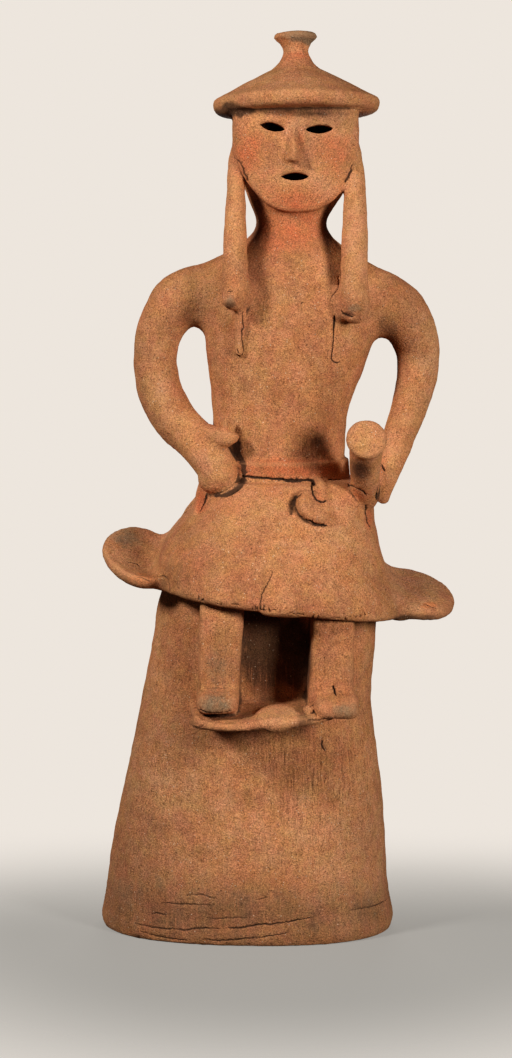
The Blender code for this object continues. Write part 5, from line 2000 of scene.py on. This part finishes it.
@dataclass
class Figure:
    """The whole figure, which is one fired piece of clay.

    Args:
        step: The distance between two points of the clay's grid.
        triangles: About how many triangles the skin may have before the lines are cut.
        finest: The longest edge that is left beside a line.
        beside: How far on each side of a line the skin is made finer.
        passes: How many times it is made finer.
        unseen: How readily the inside of the wall is thinned.
        seen: How readily the rest is thinned.
        near: How far round a point its share of solid clay is counted.
        relief: How uneven the surface is.
        finish: What it is made of.
    """

    step: float = 0.002
    triangles: int = 121_000
    finest: float = 0.0016
    beside: float = 0.0009
    passes: int = 3
    unseen: float = 1.0
    seen: float = 0.25
    near: float = 0.005
    relief: Relief = field(default_factory=Relief)
    finish: Terracotta = field(default_factory=Terracotta)

    def build(self) -> bpy.types.Object:
        """Press the sub-assemblies together, draw the skin, and dress it.

        Returns:
            The finished piece, riding on the frame.
        """
        clay = Clay(self.step, np.array(CAD_BOX[0]), np.array(CAD_BOX[1]))
        trunk, head = Trunk(), Head()
        parts = [trunk, Coat(), Legs(), Arms(), Sword(), head, Locks(), Hat()]
        for part in parts:
            part.press(clay)
            LOG.info("%s pressed on", type(part).__name__.lower())
        trunk.hollow(clay)
        head.pierce(clay)
        points, faces = clay.skin()
        LOG.info("skin of %d points and %d faces", len(points), len(faces))
        mesh = self.relief.work(self.to_mesh(points, faces), self.finish.material())
        mesh = self.thin(mesh, trunk)
        carving = Carving([line for part in parts for line in part.lines()], clay)
        dark = self.carve(mesh, carving)
        self.dress(mesh, clay, parts, dark)
        obj = put("haniwa_figure_clay", mesh)
        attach(obj, "root")
        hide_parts("haniwa_figure")
        LOG.info("%s has %d faces", obj.name, len(mesh.polygons))
        return obj

    def to_mesh(self, points: Array, faces: Array) -> bpy.types.Mesh:
        """Make a mesh of points and four-sided faces."""
        mesh = bpy.data.meshes.new("clay_skin")
        mesh.vertices.add(len(points))
        mesh.vertices.foreach_set("co", points.astype(np.float32).ravel())
        mesh.loops.add(faces.size)
        mesh.loops.foreach_set("vertex_index", faces.astype(np.int32).ravel())
        mesh.polygons.add(len(faces))
        mesh.polygons.foreach_set("loop_start", np.arange(len(faces), dtype=np.int32) * 4)
        mesh.update(calc_edges=True)
        return mesh

    def thin(self, mesh: bpy.types.Mesh, trunk: Trunk) -> bpy.types.Mesh:
        """Thin the mesh to its number of triangles, most of all on the inside of the wall."""
        hidden = trunk.hidden(read_points(mesh))
        obj = put("thinned_skin", mesh)
        group = obj.vertex_groups.new(name="thin_first")
        group.add(np.nonzero(hidden > 0.5)[0].tolist(), self.unseen, "REPLACE")
        group.add(np.nonzero(hidden <= 0.5)[0].tolist(), self.seen, "REPLACE")
        decimate = obj.modifiers.new("thin", "DECIMATE")
        decimate.ratio = min(1.0, self.triangles / (2 * len(mesh.polygons)))
        decimate.vertex_group = group.name
        decimate.vertex_group_factor = 1.0
        thinned = plain_mesh(obj)
        share = trunk.hidden(read_points(thinned)).mean()
        LOG.info("thinned to %d, %.0f%% inside", len(thinned.polygons), 100 * share)
        return thinned

    def carve(self, mesh: bpy.types.Mesh, carving: Carving) -> Array:
        """Make the skin finer beside the lines, and cut them into it.

        Args:
            mesh: The thinned skin, which is changed.
            carving: The lines.

        Returns:
            How dark the lines make each point.
        """
        work = bmesh.new()
        work.from_mesh(mesh)
        for _ in range(self.passes):
            ends = np.array([[vert.co for vert in edge.verts] for edge in work.edges])
            length = np.linalg.norm(ends[:, 0] - ends[:, 1], axis=1)
            _, away = carving.nearest(ends.mean(1))
            chosen = (length > self.finest) & (away < self.beside + length / 2)
            edges = [edge for edge, cut in zip(work.edges, chosen) if cut]
            bmesh.ops.subdivide_edges(work, edges=edges, cuts=1, use_grid_fill=True)
            many = [face for face in work.faces if len(face.verts) > 3]
            bmesh.ops.triangulate(work, faces=many)
        work.normal_update()
        points = np.array([vert.co for vert in work.verts])
        normals = np.array([vert.normal for vert in work.verts])
        work.to_mesh(mesh)
        work.free()
        mesh.validate()
        depth, dark = carving.near(points, normals)
        points = points - normals * depth[:, None]
        set_points(mesh, points)
        LOG.info("lines cut, %d faces", len(mesh.polygons))
        return dark

    def dress(
        self, mesh: bpy.types.Mesh, clay: Clay, parts: Sequence[SubAssembly], dark: Array
    ) -> None:
        """Keep the mesh inside the model's box, and give its points what the finish reads.

        Args:
            mesh: The carved skin.
            clay: The clay that it was drawn from.
            parts: The sub-assemblies, for their patches.
            dark: How dark the lines make each point.
        """
        low, high = (np.array(corner) for corner in CAD_BOX)
        points = np.clip(read_points(mesh), low + INSET, high - INSET)
        set_points(mesh, points)
        amounts = {tint: np.zeros(len(points)) for tint in Tint}
        for part in parts:
            for patch in part.patches:
                amounts[patch.tint] += patch.amount(points)
        # the lines' dark: dirt in the cracks, and painted shade along the gaps
        amounts[Tint.CRACK] = dark
        for tint, amount in amounts.items():
            write_attribute(mesh, tint.value, np.clip(amount, 0, 1.2))
        # the share of solid clay round each point, which the finish turns into painted shade in hollows and
        # lighter worn edges
        write_attribute(mesh, "solid_share", clay.sample(clay.filled(self.near), points))
        mesh.polygons.foreach_set("use_smooth", np.ones(len(mesh.polygons), bool))


def put(name: str, data: bpy.types.ID) -> bpy.types.Object:
    """Put a new object in the scene."""
    obj = bpy.data.objects.new(name, data)
    bpy.context.scene.collection.objects.link(obj)
    return obj


def start_material(name: str) -> tuple[bpy.types.Material, Board]:
    """Start a material, and give it with the board for its nodes."""
    material = bpy.data.materials.new(name)
    material.use_nodes = True
    return material, Board(material.node_tree)


def set_points(mesh: bpy.types.Mesh, points: Array) -> None:
    """Put a mesh's points in new places."""
    mesh.vertices.foreach_set("co", points.astype(np.float32).ravel())
    mesh.update()


def read_points(mesh: bpy.types.Mesh) -> Array:
    """Give the places of a mesh's points, one to a line."""
    points = np.empty(len(mesh.vertices) * 3, np.float32)
    mesh.vertices.foreach_get("co", points)
    return points.reshape(-1, 3)


def write_attribute(mesh: bpy.types.Mesh, name: str, values: Array) -> None:
    """Keep one number for each point of a mesh."""
    attribute = mesh.attributes.new(name, "FLOAT", "POINT")
    attribute.data.foreach_set("value", values.astype(np.float32))


@dataclass(frozen=True)
class Paper:
    """The plain pale paper of the floor, lit from behind, which fades out at a distance.

    Args:
        colour: Its colour.
        glow: The light that comes through it.
        round: How far from the figure it starts to fade, and where it is gone.
        behind: The same, straight behind the figure.
    """

    colour: Colour = (0.165, 0.158, 0.148)
    glow: Colour = (0.24, 0.231, 0.214)
    round: tuple[float, float] = (0.3, 0.85)
    behind: tuple[float, float] = (-0.05, 0.6)

    def material(self) -> bpy.types.Material:
        """Build the paper's material."""
        material, board = start_material("pale_paper")
        place = board.node("ShaderNodeTexCoord", out="Object")
        away = board.node("ShaderNodeVectorMath", {"operation": "LENGTH"}, {0: place}, "Value")
        paper = board.node("ShaderNodeBsdfDiffuse", None, {"Color": self.colour})
        glow = board.node("ShaderNodeEmission", None, {"Color": self.glow})
        paper = board.node("ShaderNodeAddShader", None, {0: paper, 1: glow})
        clear = board.node("ShaderNodeBsdfTransparent")
        back = board.node("ShaderNodeSeparateXYZ", None, {0: place}, "Y")
        for share in (board.rise(away, *self.round), board.rise(back, *self.behind)):
            paper = board.node("ShaderNodeMixShader", None, {0: share, 1: paper, 2: clear})
        board.node("ShaderNodeOutputMaterial", None, {"Surface": paper})
        return material


@dataclass(frozen=True)
class Lamp:
    """A soft square light that is turned to the figure.

    Args:
        name: What it is called.
        bearing: Degrees to the right of straight ahead of the figure.
        distance: How far it is from the figure's axis.
        height: Its height.
        size: The length of its side.
        power: Its power in watts.
        aim: The place that it faces.
        colour: Its colour.
    """

    name: str
    bearing: float
    distance: float
    height: float
    size: float
    power: float
    aim: Point = (0.0, 0.0, 0.6)
    colour: Colour = (1.0, 1.0, 1.0)

    def build(self) -> None:
        """Hang the light."""
        data = bpy.data.lights.new(self.name, "AREA")
        data.shape = "SQUARE"
        data.size = self.size
        data.energy = self.power
        data.color = self.colour
        obj = put(self.name, data)
        angle = math.radians(self.bearing)
        obj.location = (
            self.distance * math.sin(angle), -self.distance * math.cos(angle), self.height
        )
        facing = Vector(self.aim) - obj.location
        obj.rotation_euler = facing.to_track_quat("-Z", "Y").to_euler()
        obj.visible_camera = False


@dataclass
class Studio:
    """A pale floor in pale air, soft lights, and the camera.

    Args:
        radius: How far the floor goes.
        lens: The camera's focal length in millimetres.
        eye: The camera's place.
        shift: How far its frame is moved across and up, in shares of its longer side.
        backdrop: The colour of the air behind the figure.
        ambient: How much of that air's light falls on the figure.
        sensor: The width of the camera's film in millimetres.
        sides: How many sides the floor's rim has.
        lamps: The lights.
    """

    radius: float = 1.5
    lens: float = 88.5
    eye: Point = (-0.0254, -3.274, 0.85)
    shift: tuple[float, float] = (-0.0028, -0.2618)
    backdrop: Colour = (0.716, 0.67, 0.62)
    ambient: float = 0.06
    sensor: float = 36.0
    sides: int = 64
    lamps: Sequence[Lamp] = (
        Lamp("right_light", 40.0, 2.8, 1.1, 0.6, 56.0, (0.0, 0.0, 0.75)),
        Lamp("left_light", -55.0, 2.8, 2.2, 0.6, 72.0, (0.0, 0.0, 0.75)),
        Lamp("back_light", 180.0, 2.8, 0.95, 1.2, 34.0, (0.0, 0.0, 0.6)),
    )

    def build(self, paper: Paper) -> None:
        """Set up the floor, the lights and the camera."""
        self.lay_floor(paper)
        for lamp in self.lamps:
            lamp.build()
        scene = bpy.context.scene
        world = bpy.data.worlds.new("air")
        world.use_nodes = True
        board = Board(world.node_tree)
        seen = board.node("ShaderNodeLightPath", out="Is Camera Ray")
        bright = seen * (1.0 - self.ambient) + self.ambient
        air = board.node("ShaderNodeBackground", None, {"Color": self.backdrop, "Strength": bright})
        board.node("ShaderNodeOutputWorld", None, {"Surface": air})
        scene.world = world
        scene.view_settings.view_transform = "Standard"
        scene.view_settings.look = "Medium High Contrast"
        data = bpy.data.cameras.new("camera")
        data.lens = self.lens
        data.sensor_width = self.sensor
        data.shift_x, data.shift_y = self.shift
        camera = put("camera", data)
        camera.location = self.eye
        camera.rotation_euler = (math.pi / 2, 0.0, 0.0)
        scene.camera = camera

    def lay_floor(self, paper: Paper) -> None:
        """Lay the floor, a round sheet with the figure in its middle."""
        turns = [2 * math.pi * i / self.sides for i in range(self.sides)]
        points = [(self.radius * math.cos(a), self.radius * math.sin(a), 0.0) for a in turns]
        mesh = bpy.data.meshes.new("floor")
        mesh.from_pydata(points, [], [tuple(range(self.sides))])
        mesh.materials.append(paper.material())
        floor = put("floor", mesh)
        floor.visible_diffuse = False


def main() -> None:
    """Build the figure and the studio."""
    logging.basicConfig(level=logging.INFO, format="%(name)s: %(message)s")
    Figure().build()
    Studio().build(Paper())


if __name__ == "__main__":
    main()
